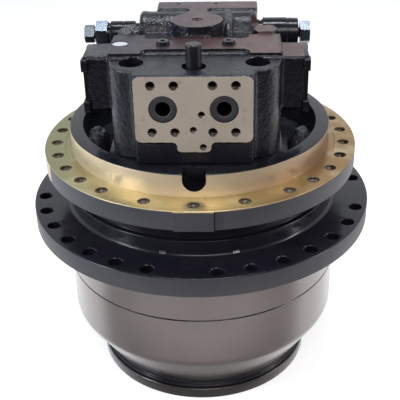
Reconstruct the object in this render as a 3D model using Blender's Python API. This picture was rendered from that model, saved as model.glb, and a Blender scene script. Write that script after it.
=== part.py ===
"""Travel final drive of an excavator: a piston motor and a two stage planetary gearbox in one unit.

The unit stands on its gearbox cover. The frame flange, the spigot and the valve casing stay still,
and the sprocket flange turns round them with the drum and the cover. Metres, +Z up, ports towards -Y.
"""

import math

import bmesh
import bpy

MM = 0.001

# Fits and facets
SEAM = 0.3 * MM  # joint line between two pieces that are bolted or pressed together
RUNNING = 0.1 * MM  # running clearance beyond what the facets take
RING_FACETS = 32  # facets of every ring on the main axis
SHAFT_FACETS = 12  # facets of shafts, pins and large bores
BOLT_FACETS = 6  # facets of bolts, screws and their holes

# Cover and drum
COVER_RADIUS = 153.7 * MM
COVER_HEIGHT = 15.8 * MM
COVER_RECESS_RADIUS = 112 * MM
COVER_RECESS_DEPTH = 5 * MM
COVER_SPIGOT_HEIGHT = 12 * MM
COVER_SPIGOT_WALL = 14 * MM
COVER_PLUG_CIRCLE = 190 * MM
COVER_PLUG_RADIUS = 13 * MM
COVER_PLUG_HEIGHT = 9 * MM
NECK_RADIUS = 147.5 * MM
NECK_LIP_RADIUS = 150.5 * MM
NECK_LIP_HEIGHT = 4 * MM
NECK_HEIGHT = 17.3 * MM
NECK_BORE_RADIUS = 128 * MM
CONE_HEIGHT = 54.6 * MM
CONE_FOOT_RADIUS = 154 * MM
DRUM_WALL = 21 * MM  # outside the roots of the ring gear's teeth
DRUM_EDGE = 1.6 * MM
RING_GEAR_BARREL_HEIGHT = 75.2 * MM

# Hub
HUB_BARREL_HEIGHT = 68.4 * MM
SPROCKET_FLANGE_REACH = 44.2 * MM
SPROCKET_FLANGE_THICKNESS = 26.7 * MM
SPROCKET_HOLE_EDGE = 14.7 * MM  # from the holes' centres to the rim
SPROCKET_HOLE_RADIUS = 8.75 * MM
SPROCKET_HOLE_GROUPS = 4
SPROCKET_HOLES_IN_GROUP = 7
SPROCKET_HOLE_PITCH = 11.25
SPROCKET_GROUP_TURN = -4.15
COLLAR_STEP = 9.9 * MM
COLLAR_HEIGHT = 10.2 * MM
SEAL_CONE_HEIGHT = 24 * MM
SEAL_CONE_INSET = 4.5 * MM
HUB_TOP_LIP_HEIGHT = 9.5 * MM
HUB_REGISTER_HEIGHT = 4 * MM
HUB_REGISTER_WALL = 12 * MM

# Frame flange, spigot and motor chamber
FLANGE_GAP = 53 * MM
FRAME_FLANGE_REACH = 36.5 * MM
FRAME_FLANGE_THICKNESS = 26.9 * MM
FRAME_HOLE_EDGE = 16.5 * MM
FRAME_HOLE_RADIUS = 7.4 * MM
FRAME_HOLE_ANGLES = (0, 18, 36, 48, 60, 72, 84, 96, 108, 120, 132, 144, 162)
TIMING_PAD_WIDTH = 48 * MM
TIMING_PAD_PROUD = 1.5 * MM
SPIGOT_RADIUS = 176 * MM
SPIGOT_HEIGHT = 29.6 * MM
SPIGOT_NOTCH_WIDTH = 29 * MM
SPIGOT_NOTCH_FLOOR = 7 * MM
SPIGOT_NOTCH_DEPTH = 22 * MM
SPIGOT_WALL = 17.5 * MM
POCKET_INNER_X = 108.5 * MM
POCKET_DEPTH = 45 * MM
POCKET_FRONT_ANGLE = 46
POCKET_REAR_ANGLE = 40
POCKET_LUMP_HEIGHT = 26 * MM
POCKET_LUMP_X = 134 * MM
POCKET_LUMP_Y = -20 * MM
POCKET_LUMP_RADIUS = 30 * MM
POCKET_LUMP_SQUEEZE = 0.55
MOTOR_CHAMBER_RADIUS = 98 * MM
SPINDLE_NUT_STEP = 7 * MM
SPINDLE_NOSE_BORE_RADIUS = 46 * MM
MOTOR_FLOOR_THICKNESS = 35 * MM

# Floating seal
SEAL_RING_INSET = 8 * MM  # inside the bearings' outer radius
SEAL_RING_WALL = 6 * MM
SEAL_FACE_WIDTH = 10.5 * MM
SEAL_FACE_HEIGHT = 4 * MM
SEAL_RING_HEIGHT = 14 * MM
SEAL_CORD_SPACE = 8 * MM
SEAL_LIP_WALL = 5.5 * MM
SEAL_CORE_GAP = 2 * MM

# Main bearings
HUB_WALL = 30.5 * MM
BEARING_SECTION = 34.7 * MM
BEARING_WIDTH = 28 * MM
BEARING_SPACING = 9.6 * MM
BEARING_RACE_WALL = 10.5 * MM
BEARING_ROLLERS = 12
BEARING_CAGE_WALL = 5 * MM
BEARING_NUT_HEIGHT = 12 * MM
BEARING_NUT_WALL = 19 * MM
BEARING_SHOULDER_HEIGHT = 9.5 * MM

# Gears
MODULE = 6 * MM
PRESSURE_ANGLE = 25.0
RING_TEETH = 54
BACKLASH = 0.7 * MM
STAGE_2_SUN_TEETH = 12
STAGE_2_PLANET_TEETH = 21
STAGE_2_WIDTH = 42 * MM
STAGE_2_PIN_RADIUS = 20 * MM
STAGE_1_SUN_TEETH = 12
STAGE_1_PLANET_TEETH = 21
STAGE_1_WIDTH = 19 * MM
STAGE_1_PIN_RADIUS = 15 * MM
PLANETS = 3
PLANET_CLOCK = 90.0
PIN_HEAD_HEIGHT = 4 * MM
CARRIER_2_THICKNESS = 12 * MM
CARRIER_2_RIM = 35 * MM
CARRIER_2_BORE_RADIUS = 50 * MM
CARRIER_1_THICKNESS = 9 * MM
CARRIER_1_RIM = 20 * MM
THRUST_GAP = 1.2 * MM
SUN_2_NECK_RADIUS = 27 * MM
SUN_2_BORE_RADIUS = 18 * MM
SUN_1_SHAFT_RADIUS = 15 * MM

# Motor
MOTOR_SHAFT_RADIUS = 22 * MM
SHAFT_BEARING_WIDTH = 22 * MM
SHAFT_SOCKET_DEPTH = 26 * MM
SHAFT_SOCKET_WALL = 7 * MM
SWASH_PLATE_RADIUS = 86 * MM
SWASH_PLATE_THICKNESS = 20 * MM
SHOE_HEIGHT = 4 * MM
RETAINER_THICKNESS = 4 * MM
PISTONS = 9
PISTON_RADIUS = 10.5 * MM
PISTON_CIRCLE = 108 * MM
PISTON_LENGTH = 60 * MM
BLOCK_RADIUS = 74 * MM
BLOCK_LENGTH = 92 * MM
BLOCK_BORE_DEPTH = 72 * MM
VALVE_PLATE_THICKNESS = 7 * MM
BRAKE_DISC_THICKNESS = 6 * MM
BRAKE_PISTON_HEIGHT = 32 * MM
BRAKE_TRAVEL = 3 * MM
BRAKE_HEIGHT_ON_BLOCK = 38 * MM

# Valve casing, heights counted from the top of the spigot
BLOCK_TOP = 114.1 * MM
SHOULDER_TOP = 84 * MM
BAND_HEIGHT = 6 * MM
BOSS_HEIGHT = 15 * MM
BOSS_RADIUS = 33 * MM
PORT_FACE_Y = -149 * MM
PORT_FACE_PROUD = 2 * MM
PORT_FACE_WIDTH = 141 * MM
PORT_FACE_BOTTOM = 30.5 * MM
PORT_FACE_TOP = 112.5 * MM
PORT_TAB_WIDTH = 40 * MM
PORT_TAB_DROP = 13 * MM
PORT_SPACING = 72.4 * MM
PORT_HEIGHT = 72.4 * MM
PORT_BORE_RADIUS = 16.8 * MM
PORT_BORE_DEPTH = 26 * MM
PORT_BOLT_SPACING_X = 27.2 * MM
PORT_BOLT_SPACING_Z = 59 * MM
PORT_BOLT_RADIUS = 5.1 * MM
PORT_BOLT_DEPTH = 20 * MM
PORT_PLUG_HOLE_RADIUS = 8.8 * MM
PORT_PLUG_LENGTH = 15 * MM
PORT_PLUG_FLOOR = 4 * MM
GAUGE_HOLE_RADIUS = 3.9 * MM
GAUGE_HOLES = ((9.4, 65.4), (-0.6, 45.8), (10.8, 23.4))
COLUMN_X = 76 * MM
COLUMN_Y = -104 * MM
COLUMN_RADIUS = 27 * MM
CASING_HALF_WIDTH = 106 * MM
CASING_REAR_Y = 95 * MM
CASING_REAR_CHAMFER = 32 * MM
UPPER_INSET = 2 * MM
UPPER_STEP_Y = -14 * MM
CASING_SPIGOT_LENGTH = 21 * MM
COUNTERBORE_RADIUS = 15 * MM
COUNTERBORE_FLOOR = 30 * MM
REAR_BOLT_X = 62 * MM
REAR_BOLT_Y = 110 * MM
REAR_EAR_RADIUS = 22 * MM
REAR_EAR_HEIGHT = 30 * MM
CASING_BOLT_RADIUS = 8 * MM
CASING_BOLT_HEAD_RADIUS = 12 * MM
CASING_BOLT_HEAD_HEIGHT = 16 * MM
CASING_BOLT_THREAD = 30 * MM
BAND_PAD_INNER_X = 66.5 * MM
BAND_PAD_FRONT_Y = -88 * MM
BAND_PAD_REAR_Y = -16 * MM
BAND_FRONT_Y = -72 * MM
BAND_REAR_Y = -32 * MM
BAND_FILLET = 8 * MM
DRAIN_Y = -116.7 * MM
DRAIN_BORE_RADIUS = 14.5 * MM
DRAIN_BORE_DEPTH = 10 * MM
DRAIN_PLUG_RADIUS = 9.5 * MM
DRAIN_PLUG_LENGTH = 48 * MM
DRAIN_PLUG_SEAT = 10 * MM
BAND_PLUG_X = 41 * MM
BAND_PLUG_Y = -54 * MM
BAND_PLUG_HEAD_RADIUS = 8.6 * MM
BAND_PLUG_HEAD_HEIGHT = 5 * MM
BAND_PLUG_SHANK_RADIUS = 6 * MM
BAND_PLUG_SHANK_LENGTH = 12 * MM
PLUG_SOCKET_RADIUS = 3.4 * MM
PLUG_SOCKET_DEPTH = 3.5 * MM
BLANK_DISC_X = -95.5 * MM
BLANK_DISC_Y = -48 * MM
BLANK_DISC_RADIUS = 10 * MM
BLANK_DISC_THICKNESS = 5 * MM
BOSS_PLUG_RADIUS = 6.2 * MM
BOSS_PLUG_LENGTH = 12 * MM

# Spool housing on top of the valve casing
HOUSING_Y = 38 * MM
HOUSING_BELOW_BLOCK_TOP = 9 * MM
HOUSING_RADIUS = 29 * MM
HOUSING_HALF_LENGTH = 78 * MM
RIDGE_LEFT_X = -56 * MM
RIDGE_RIGHT_X = 79 * MM
RIDGE_FRONT_Y = 52 * MM
RIDGE_REAR_Y = 83 * MM
RIDGE_NECK_WIDTH = 21 * MM
WEB_X = 40.5 * MM
WEB_WIDTH = 12 * MM
SIDE_BOSS_X = 89 * MM
SIDE_BOSS_Y = 3 * MM
SIDE_BOSS_RADIUS = 15 * MM
SIDE_BOSS_ABOVE_BLOCK = 8 * MM

# Relief valves in the ends of the spool housing
RELIEF_NOSE_RADIUS = 9 * MM
RELIEF_NOSE_LENGTH = 22 * MM
LEFT_RELIEF_NECK_RADIUS = 14 * MM
LEFT_RELIEF_NECK_LENGTH = 6.5 * MM
LEFT_RELIEF_BODY_RADIUS = 16.9 * MM
LEFT_RELIEF_BODY_LENGTH = 37.4 * MM
LEFT_RELIEF_HEX_ACROSS = 31.4 * MM
LEFT_RELIEF_HEX_LENGTH = 15.4 * MM
RIGHT_RELIEF_NECK_RADIUS = 17.6 * MM
RIGHT_RELIEF_NECK_LENGTH = 7.2 * MM
RIGHT_RELIEF_BODY_RADIUS = 19.8 * MM
RIGHT_RELIEF_BODY_LENGTH = 47 * MM
RELIEF_GROOVE_DEPTH = 1 * MM
RELIEF_CAP_ACROSS_LEFT = 21 * MM
RELIEF_CAP_ACROSS_RIGHT = 27 * MM
RELIEF_CAP_LENGTH = 13 * MM
RELIEF_THREAD_SHOWN = 3 * MM
RELIEF_STUD_RADIUS = 7 * MM
RELIEF_STUD_IN_CAP = 8 * MM

# Counterbalance spool across the valve casing, with a wing and a cap at each end
SPOOL_Y = -49 * MM
SPOOL_HEIGHT = 75 * MM
SPOOL_BORE_RADIUS = 14 * MM
SPOOL_END_GAP = 12 * MM
SPOOL_TRAVEL = 8 * MM
SPOOL_LAND = 26 * MM
SPOOL_WAIST_RADIUS = 8 * MM
WING_OUTER_X = 133.5 * MM
WING_HALF_DEPTH = 30 * MM
WING_BOTTOM = 38 * MM
WING_TOP = 112 * MM
WING_CHAMFER = 7 * MM
CAP_THICKNESS = 7.5 * MM
CAP_EAR_LENGTH = 16 * MM
CAP_EAR_PROUD = 4.5 * MM

# Radii worked out from the sizes above
RING_PITCH_RADIUS = MODULE * RING_TEETH / 2
RING_TIP_RADIUS = RING_PITCH_RADIUS - MODULE
RING_ROOT_RADIUS = RING_PITCH_RADIUS + 1.25 * MODULE
STAGE_2_CENTRES = MODULE * (STAGE_2_SUN_TEETH + STAGE_2_PLANET_TEETH) / 2
STAGE_1_CENTRES = MODULE * (STAGE_1_SUN_TEETH + STAGE_1_PLANET_TEETH) / 2
CARRIER_2_RADIUS = STAGE_2_CENTRES + CARRIER_2_RIM
DRUM_RADIUS = RING_ROOT_RADIUS + DRUM_WALL
SPROCKET_FLANGE_RADIUS = DRUM_RADIUS + SPROCKET_FLANGE_REACH
SPROCKET_HOLE_CIRCLE = 2 * (SPROCKET_FLANGE_RADIUS - SPROCKET_HOLE_EDGE)
COLLAR_RADIUS = DRUM_RADIUS + COLLAR_STEP
SEAL_CONE_TOP_RADIUS = DRUM_RADIUS - SEAL_CONE_INSET
BEARING_OUTER_RADIUS = DRUM_RADIUS - HUB_WALL
BEARING_BORE_RADIUS = BEARING_OUTER_RADIUS - BEARING_SECTION
SPINDLE_RADIUS = BEARING_BORE_RADIUS - SEAM
SPINDLE_NUT_SEAT_RADIUS = SPINDLE_RADIUS - SPINDLE_NUT_STEP
SEAL_RING_INNER_RADIUS = BEARING_OUTER_RADIUS - SEAL_RING_INSET
SEAL_HOUSING_RADIUS = SEAL_RING_INNER_RADIUS + SEAL_RING_WALL + SEAL_CORD_SPACE
SEAL_CORE_RADIUS = SEAL_RING_INNER_RADIUS - SEAL_CORE_GAP
FRAME_FLANGE_RADIUS = SPIGOT_RADIUS + FRAME_FLANGE_REACH
FRAME_HOLE_CIRCLE = 2 * (FRAME_FLANGE_RADIUS - FRAME_HOLE_EDGE)
POCKET_RADIUS = SPIGOT_RADIUS - SPIGOT_WALL

# Levels worked out from the sizes above
DRUM_BOTTOM = COVER_HEIGHT + SEAM
CONE_BOTTOM = DRUM_BOTTOM + NECK_HEIGHT
CONE_TOP = CONE_BOTTOM + CONE_HEIGHT
DRUM_TOP = CONE_TOP + RING_GEAR_BARREL_HEIGHT
HUB_BOTTOM = DRUM_TOP + SEAM
SPROCKET_FLANGE_BOTTOM = HUB_BOTTOM + HUB_BARREL_HEIGHT
SPROCKET_FLANGE_TOP = SPROCKET_FLANGE_BOTTOM + SPROCKET_FLANGE_THICKNESS
COLLAR_TOP = SPROCKET_FLANGE_TOP + COLLAR_HEIGHT
SEAL_CONE_TOP = COLLAR_TOP + SEAL_CONE_HEIGHT
HUB_TOP = SEAL_CONE_TOP + HUB_TOP_LIP_HEIGHT
FRAME_FLANGE_BOTTOM = SPROCKET_FLANGE_TOP + FLANGE_GAP
FRAME_FACE = FRAME_FLANGE_BOTTOM + FRAME_FLANGE_THICKNESS
SPIGOT_TOP = FRAME_FACE + SPIGOT_HEIGHT
CASING_BOTTOM = SPIGOT_TOP + SEAM
CASING_SPIGOT_BOTTOM = CASING_BOTTOM - CASING_SPIGOT_LENGTH
BLOCK_LEVEL = SPIGOT_TOP + BLOCK_TOP
BAND_LEVEL = BLOCK_LEVEL + BAND_HEIGHT
BOSS_LEVEL = BAND_LEVEL + BOSS_HEIGHT

# Gearbox levels, counted down from the joint of drum and hub
TEETH_TOP = DRUM_TOP - HUB_REGISTER_HEIGHT - SEAM
SPINDLE_END = HUB_BOTTOM + 7 * MM
CARRIER_2_TOP = SPINDLE_END - SEAM
CARRIER_2_BOTTOM = CARRIER_2_TOP - CARRIER_2_THICKNESS
PLANET_2_TOP = CARRIER_2_BOTTOM - THRUST_GAP / 2
PLANET_2_BOTTOM = PLANET_2_TOP - STAGE_2_WIDTH
PIN_2_BOTTOM = PLANET_2_BOTTOM - THRUST_GAP / 2 - PIN_HEAD_HEIGHT
CARRIER_1_TOP = PIN_2_BOTTOM - THRUST_GAP
CARRIER_1_BOTTOM = CARRIER_1_TOP - CARRIER_1_THICKNESS
PLANET_1_TOP = CARRIER_1_BOTTOM - THRUST_GAP / 2
PLANET_1_BOTTOM = PLANET_1_TOP - STAGE_1_WIDTH
PIN_1_BOTTOM = PLANET_1_BOTTOM - THRUST_GAP / 2 - PIN_HEAD_HEIGHT
TEETH_BOTTOM = PLANET_1_BOTTOM - 2 * MM

# Bearing and motor levels
BEARING_SHOULDER = SPROCKET_FLANGE_TOP - BEARING_SHOULDER_HEIGHT
UPPER_BEARING_TOP = BEARING_SHOULDER - SEAM
UPPER_BEARING_BOTTOM = UPPER_BEARING_TOP - BEARING_WIDTH
LOWER_BEARING_TOP = UPPER_BEARING_BOTTOM - BEARING_SPACING
LOWER_BEARING_BOTTOM = LOWER_BEARING_TOP - BEARING_WIDTH
NUT_TOP = LOWER_BEARING_BOTTOM - SEAM
MOTOR_FLOOR = SPINDLE_END + MOTOR_FLOOR_THICKNESS
SWASH_BOTTOM = MOTOR_FLOOR + SEAM
SWASH_TOP = SWASH_BOTTOM + SWASH_PLATE_THICKNESS
RETAINER_BOTTOM = SWASH_TOP + SEAM + SHOE_HEIGHT
VALVE_PLATE_TOP = CASING_SPIGOT_BOTTOM - SEAM
VALVE_PLATE_BOTTOM = VALVE_PLATE_TOP - VALVE_PLATE_THICKNESS
BLOCK_CYL_TOP = VALVE_PLATE_BOTTOM - SEAM
BLOCK_CYL_BOTTOM = BLOCK_CYL_TOP - BLOCK_LENGTH
SEAL_FACE_LEVEL = COLLAR_TOP + 16.5 * MM

PALETTE = {
    "black_paint": ((0.018, 0.018, 0.024), 0.32, 0.0),
    "drum_grey": ((0.16, 0.14, 0.13), 0.45, 0.3),
    "gold_zinc": ((0.62, 0.49, 0.24), 0.35, 0.9),
    "bare_steel": ((0.55, 0.54, 0.52), 0.3, 1.0),
    "gear_steel": ((0.34, 0.34, 0.35), 0.35, 1.0),
    "black_rubber": ((0.02, 0.02, 0.02), 0.75, 0.0),
    "bronze": ((0.52, 0.36, 0.16), 0.4, 1.0),
}


def clear_scene():
    for item in list(bpy.data.objects):
        bpy.data.objects.remove(item)


def finish_material(name):
    made = bpy.data.materials.get(name)
    if made:
        return made
    colour, roughness, metallic = PALETTE[name]
    made = bpy.data.materials.new(name)
    made.use_nodes = True
    shader = made.node_tree.nodes["Principled BSDF"]
    shader.inputs["Base Color"].default_value = (*colour, 1.0)
    shader.inputs["Roughness"].default_value = roughness
    shader.inputs["Metallic"].default_value = metallic
    made.diffuse_color = (*colour, 1.0)
    return made


def add_object(name, shape):
    """Turns a bmesh into an object with outward faces, and frees the bmesh."""
    bmesh.ops.remove_doubles(shape, verts=shape.verts, dist=0.000001)
    bmesh.ops.recalc_face_normals(shape, faces=shape.faces)
    mesh = bpy.data.meshes.new(name)
    shape.to_mesh(mesh)
    shape.free()
    made = bpy.data.objects.new(name, mesh)
    bpy.context.scene.collection.objects.link(made)
    return made


def finish(item, material, parent=None):
    """Gives a finished piece its material, its smooth round faces and its parent."""
    item.data.materials.clear()
    item.data.materials.append(finish_material(material))
    item.data.shade_smooth()
    item.data.set_sharp_from_angle(angle=math.radians(32))
    if parent:
        item.parent = parent
    return item


def add_empty(name, parent=None, place=(0, 0, 0)):
    made = bpy.data.objects.new(name, None)
    made.empty_display_size = 0.05
    made.parent = parent
    made.location = place
    bpy.context.scene.collection.objects.link(made)
    return made


def combine(target, tool, operation):
    """Applies one exact Boolean to the target and takes the tool away."""
    tool.hide_render = True
    tool.display_type = "WIRE"
    step = target.modifiers.new(operation.title(), "BOOLEAN")
    step.operation = operation
    step.solver = "EXACT"
    step.object = tool
    graph = bpy.context.evaluated_depsgraph_get()
    solid = bpy.data.meshes.new_from_object(target.evaluated_get(graph))
    target.modifiers.clear()
    target.data = solid
    bpy.data.objects.remove(tool)
    return target


def cut(target, tool):
    return combine(target, tool, "DIFFERENCE")


def fuse(target, tool):
    return combine(target, tool, "UNION")


def circle(radius, facets, centre=(0.0, 0.0), clock=0.0):
    """Corner points of a regular polygon whose corners lie on the circle."""
    return [
        (
            centre[0] + radius * math.cos(clock + math.tau * k / facets),
            centre[1] + radius * math.sin(clock + math.tau * k / facets),
        )
        for k in range(facets)
    ]


def bore_radius(radius, facets):
    """Corner radius of a faceted bore whose flats clear a turning round of the given radius."""
    return (radius + RUNNING) / math.cos(math.pi / facets)


def arc(centre, radius, start, end, steps):
    """Points of an arc, angles in degrees."""
    return [
        (
            centre[0] + radius * math.cos(math.radians(start + (end - start) * k / steps)),
            centre[1] + radius * math.sin(math.radians(start + (end - start) * k / steps)),
        )
        for k in range(steps + 1)
    ]


def rounded_box(left, right, front, rear, corner, steps=2):
    """Outline of a rectangle with round corners, counterclockwise."""
    return (
        arc((right - corner, front + corner), corner, -90, 0, steps)
        + arc((right - corner, rear - corner), corner, 0, 90, steps)
        + arc((left + corner, rear - corner), corner, 90, 180, steps)
        + arc((left + corner, front + corner), corner, 180, 270, steps)
    )


def add_prism(shape, outline, low, high, place):
    """Adds one extruded outline to a bmesh; place turns outline and height into a point."""
    corners = [shape.verts.new(place(a, b, low)) for a, b in outline]
    face = shape.faces.new(corners)
    grown = bmesh.ops.extrude_face_region(shape, geom=[face])
    for vert in (v for v in grown["geom"] if isinstance(v, bmesh.types.BMVert)):
        index = min(range(len(corners)), key=lambda k: (corners[k].co - vert.co).length)
        vert.co = place(*outline[index], high)


def along_z(a, b, height):
    return (a, b, height)


def along_y(a, b, depth):
    return (a, depth, b)


def along_x(a, b, depth):
    return (depth, a, b)


def prism(name, outline, low, high, place=along_z):
    shape = bmesh.new()
    add_prism(shape, outline, low, high, place)
    return add_object(name, shape)


def prisms(name, outlines, low, high, place=along_z):
    """Several separate prisms in one tool, such as a ring of holes."""
    shape = bmesh.new()
    for outline in outlines:
        add_prism(shape, outline, low, high, place)
    return add_object(name, shape)


def turned(name, profile, facets=RING_FACETS, axis=(0, 0, 1), centre=(0, 0, 0)):
    """Spins a closed profile of radius and height points; a profile may end on the axis."""
    shape = bmesh.new()
    corners = [shape.verts.new((radius, 0, height)) for radius, height in profile]
    edges = [shape.edges.new(pair) for pair in zip(corners, corners[1:] + corners[:1])]
    edges = [e for e in edges if max(v.co.x for v in e.verts) > 0]
    for lone in [v for v in corners if not v.link_edges]:
        shape.verts.remove(lone)
    bmesh.ops.spin(
        shape,
        geom=edges + corners,
        cent=(0, 0, 0),
        axis=(0, 0, 1),
        angle=math.tau,
        steps=facets,
        use_merge=True,
    )
    bmesh.ops.remove_doubles(shape, verts=shape.verts, dist=0.000001)
    bmesh.ops.dissolve_degenerate(shape, edges=shape.edges, dist=0.0000005)
    wires = [e for e in shape.edges if not e.link_faces]
    bmesh.ops.delete(shape, geom=wires, context="EDGES")
    for vert in shape.verts:
        x, y, z = vert.co
        if axis == (1, 0, 0):
            vert.co = (z + centre[0], x + centre[1], y + centre[2])
        else:
            vert.co = (x + centre[0], y + centre[1], z + centre[2])
    return add_object(name, shape)


def tube(inner, outer, low, high):
    return [(inner, low), (outer, low), (outer, high), (inner, high)]


def involute(angle):
    return math.tan(angle) - angle


def half_width(radius, pitch_radius, width):
    """Half angle of an involute tooth at a radius, from its width along the pitch circle."""
    pressure = math.radians(PRESSURE_ANGLE)
    base = pitch_radius * math.cos(pressure)
    here = math.acos(min(1.0, base / max(radius, base)))
    return width / (2 * pitch_radius) + involute(pressure) - involute(here)


def tooth_outline(teeth, radii, width):
    """Outline of a spur gear with its first tooth at angle zero; each flank runs through the radii."""
    pitch_radius = MODULE * teeth / 2
    points = []
    for k in range(teeth):
        middle = math.tau * k / teeth
        flank = [(r, half_width(r, pitch_radius, width)) for r in radii]
        for radius, half in flank:
            points.append((radius, middle - half))
        for radius, half in reversed(flank):
            points.append((radius, middle + half))
    return [(r * math.cos(a), r * math.sin(a)) for r, a in points]


def gear_outline(teeth, steps=1):
    """External gear: addendum of one module, dedendum of one and a quarter."""
    root = MODULE * teeth / 2 - 1.25 * MODULE
    radii = [root + 2.25 * MODULE * k / steps for k in range(steps + 1)]
    return tooth_outline(teeth, radii, math.pi * MODULE / 2 - BACKLASH / 2)


def planet_clock(teeth, place):
    """Turn of a planet whose tooth meets a space of the ring gear; a space of the ring lies at angle zero."""
    pitch = math.tau / RING_TEETH
    offset = round(place / pitch) * pitch - place
    return place + offset * RING_TEETH / teeth


def sun_clock(teeth, planet_teeth, place):
    """Turn of a sun that meshes with the planet at the place angle."""
    pitch = math.tau / planet_teeth
    facing = place + math.pi
    turn = planet_clock(planet_teeth, place)
    offset = round((facing - turn) / pitch) * pitch + turn - facing
    return place - offset * planet_teeth / teeth + math.pi / teeth


def planet_places():
    return [math.radians(PLANET_CLOCK) + math.tau * k / PLANETS for k in range(PLANETS)]


def polar(radius, angle):
    return (radius * math.cos(angle), radius * math.sin(angle))


def make_cover():
    spigot = NECK_BORE_RADIUS - SEAM
    top = COVER_HEIGHT + COVER_SPIGOT_HEIGHT
    profile = [
        (0, COVER_RECESS_DEPTH),
        (COVER_RECESS_RADIUS, COVER_RECESS_DEPTH),
        (COVER_RECESS_RADIUS, 0),
        (COVER_RADIUS, 0),
        (COVER_RADIUS, COVER_HEIGHT),
        (spigot, COVER_HEIGHT),
        (spigot, top),
        (spigot - COVER_SPIGOT_WALL, top),
        (spigot - COVER_SPIGOT_WALL, COVER_HEIGHT),
        (0, COVER_HEIGHT),
    ]
    cover = turned("cover", profile)
    plugs = []
    for name, angle in (("fill_plug", 0.5), ("level_plug", -0.5)):
        spot = polar(COVER_PLUG_CIRCLE / 2, math.pi * angle)
        cut(cover, prism("plug_bore", circle(COVER_PLUG_RADIUS, SHAFT_FACETS, spot), 0, COVER_HEIGHT - 2 * MM))
        low = COVER_RECESS_DEPTH - 3 * MM
        plug = prism(name, circle(COVER_PLUG_RADIUS - SEAM, SHAFT_FACETS), low, low + COVER_PLUG_HEIGHT)
        cut(plug, prism("socket", circle(6 * MM, 6), -0.01, low + 6 * MM))
        plug.location = (*spot, 0)
        plugs.append(plug)
    return cover, plugs


def make_ring_gear():
    register = BEARING_OUTER_RADIUS + HUB_REGISTER_WALL + SEAM
    profile = [
        (NECK_BORE_RADIUS, DRUM_BOTTOM),
        (NECK_LIP_RADIUS, DRUM_BOTTOM),
        (NECK_LIP_RADIUS, DRUM_BOTTOM + NECK_LIP_HEIGHT),
        (NECK_RADIUS, DRUM_BOTTOM + NECK_LIP_HEIGHT),
        (NECK_RADIUS, CONE_BOTTOM - 4 * MM),
        (CONE_FOOT_RADIUS, CONE_BOTTOM),
        (DRUM_RADIUS - DRUM_EDGE, CONE_TOP),
        (DRUM_RADIUS, CONE_TOP + 2 * DRUM_EDGE),
        (DRUM_RADIUS, DRUM_TOP),
        (register, DRUM_TOP),
        (register, TEETH_TOP),
        (RING_TIP_RADIUS, TEETH_TOP),
        (RING_TIP_RADIUS, TEETH_BOTTOM - 3 * MM),
        (NECK_BORE_RADIUS, CONE_BOTTOM + 4 * MM),
    ]
    drum = turned("ring_gear", profile)
    spaces = tooth_outline(RING_TEETH, (RING_TIP_RADIUS - 3 * MM, RING_ROOT_RADIUS), math.pi * MODULE / 2 + BACKLASH / 2)
    cut(drum, prism("tooth_spaces", spaces, TEETH_BOTTOM, TEETH_TOP + 1 * MM))
    return drum


def hole_angles():
    """Angles of the sprocket holes, counted from the front in groups with a gap between them."""
    first = SPROCKET_GROUP_TURN + SPROCKET_HOLE_PITCH
    step = 360 / SPROCKET_HOLE_GROUPS
    return [
        first + step * group + SPROCKET_HOLE_PITCH * k
        for group in range(SPROCKET_HOLE_GROUPS)
        for k in range(SPROCKET_HOLES_IN_GROUP)
    ]


def from_front(degrees):
    return math.radians(degrees - 90)


def make_hub():
    seat = BEARING_OUTER_RADIUS
    lip = bore_radius(seal_lip_radius(), RING_FACETS)
    profile = [
        (seat, HUB_BOTTOM - HUB_REGISTER_HEIGHT),
        (seat + HUB_REGISTER_WALL, HUB_BOTTOM - HUB_REGISTER_HEIGHT),
        (seat + HUB_REGISTER_WALL, HUB_BOTTOM),
        (DRUM_RADIUS, HUB_BOTTOM),
        (DRUM_RADIUS, SPROCKET_FLANGE_BOTTOM),
        (SPROCKET_FLANGE_RADIUS, SPROCKET_FLANGE_BOTTOM),
        (SPROCKET_FLANGE_RADIUS, SPROCKET_FLANGE_TOP),
        (COLLAR_RADIUS, SPROCKET_FLANGE_TOP),
        (COLLAR_RADIUS, COLLAR_TOP),
        (SEAL_CONE_TOP_RADIUS, SEAL_CONE_TOP),
        (SEAL_CONE_TOP_RADIUS - 1.5 * MM, HUB_TOP),
        (lip, HUB_TOP),
        (lip, SEAL_FACE_LEVEL + 2 * MM),
        (SEAL_HOUSING_RADIUS, SEAL_FACE_LEVEL - 2 * MM),
        (SEAL_HOUSING_RADIUS, seal_seat_level()),
        (seat, seal_seat_level()),
        (seat, UPPER_BEARING_BOTTOM - SEAM),
        (seat - BEARING_RACE_WALL + 3 * MM, UPPER_BEARING_BOTTOM - SEAM),
        (seat - BEARING_RACE_WALL + 3 * MM, LOWER_BEARING_TOP + SEAM),
        (seat, LOWER_BEARING_TOP + SEAM),
    ]
    hub = turned("hub", profile)
    spots = [polar(SPROCKET_HOLE_CIRCLE / 2, from_front(a)) for a in hole_angles()]
    holes = [circle(SPROCKET_HOLE_RADIUS, BOLT_FACETS, s) for s in spots]
    low = SPROCKET_FLANGE_BOTTOM - 5 * MM
    cut(hub, prisms("sprocket_holes", holes, low, SPROCKET_FLANGE_TOP + 5 * MM))
    return hub


def seal_lip_radius():
    return SEAL_HOUSING_RADIUS + SEAL_LIP_WALL


def seal_seat_level():
    return SEAL_FACE_LEVEL - SEAL_RING_HEIGHT - 2 * MM


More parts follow.
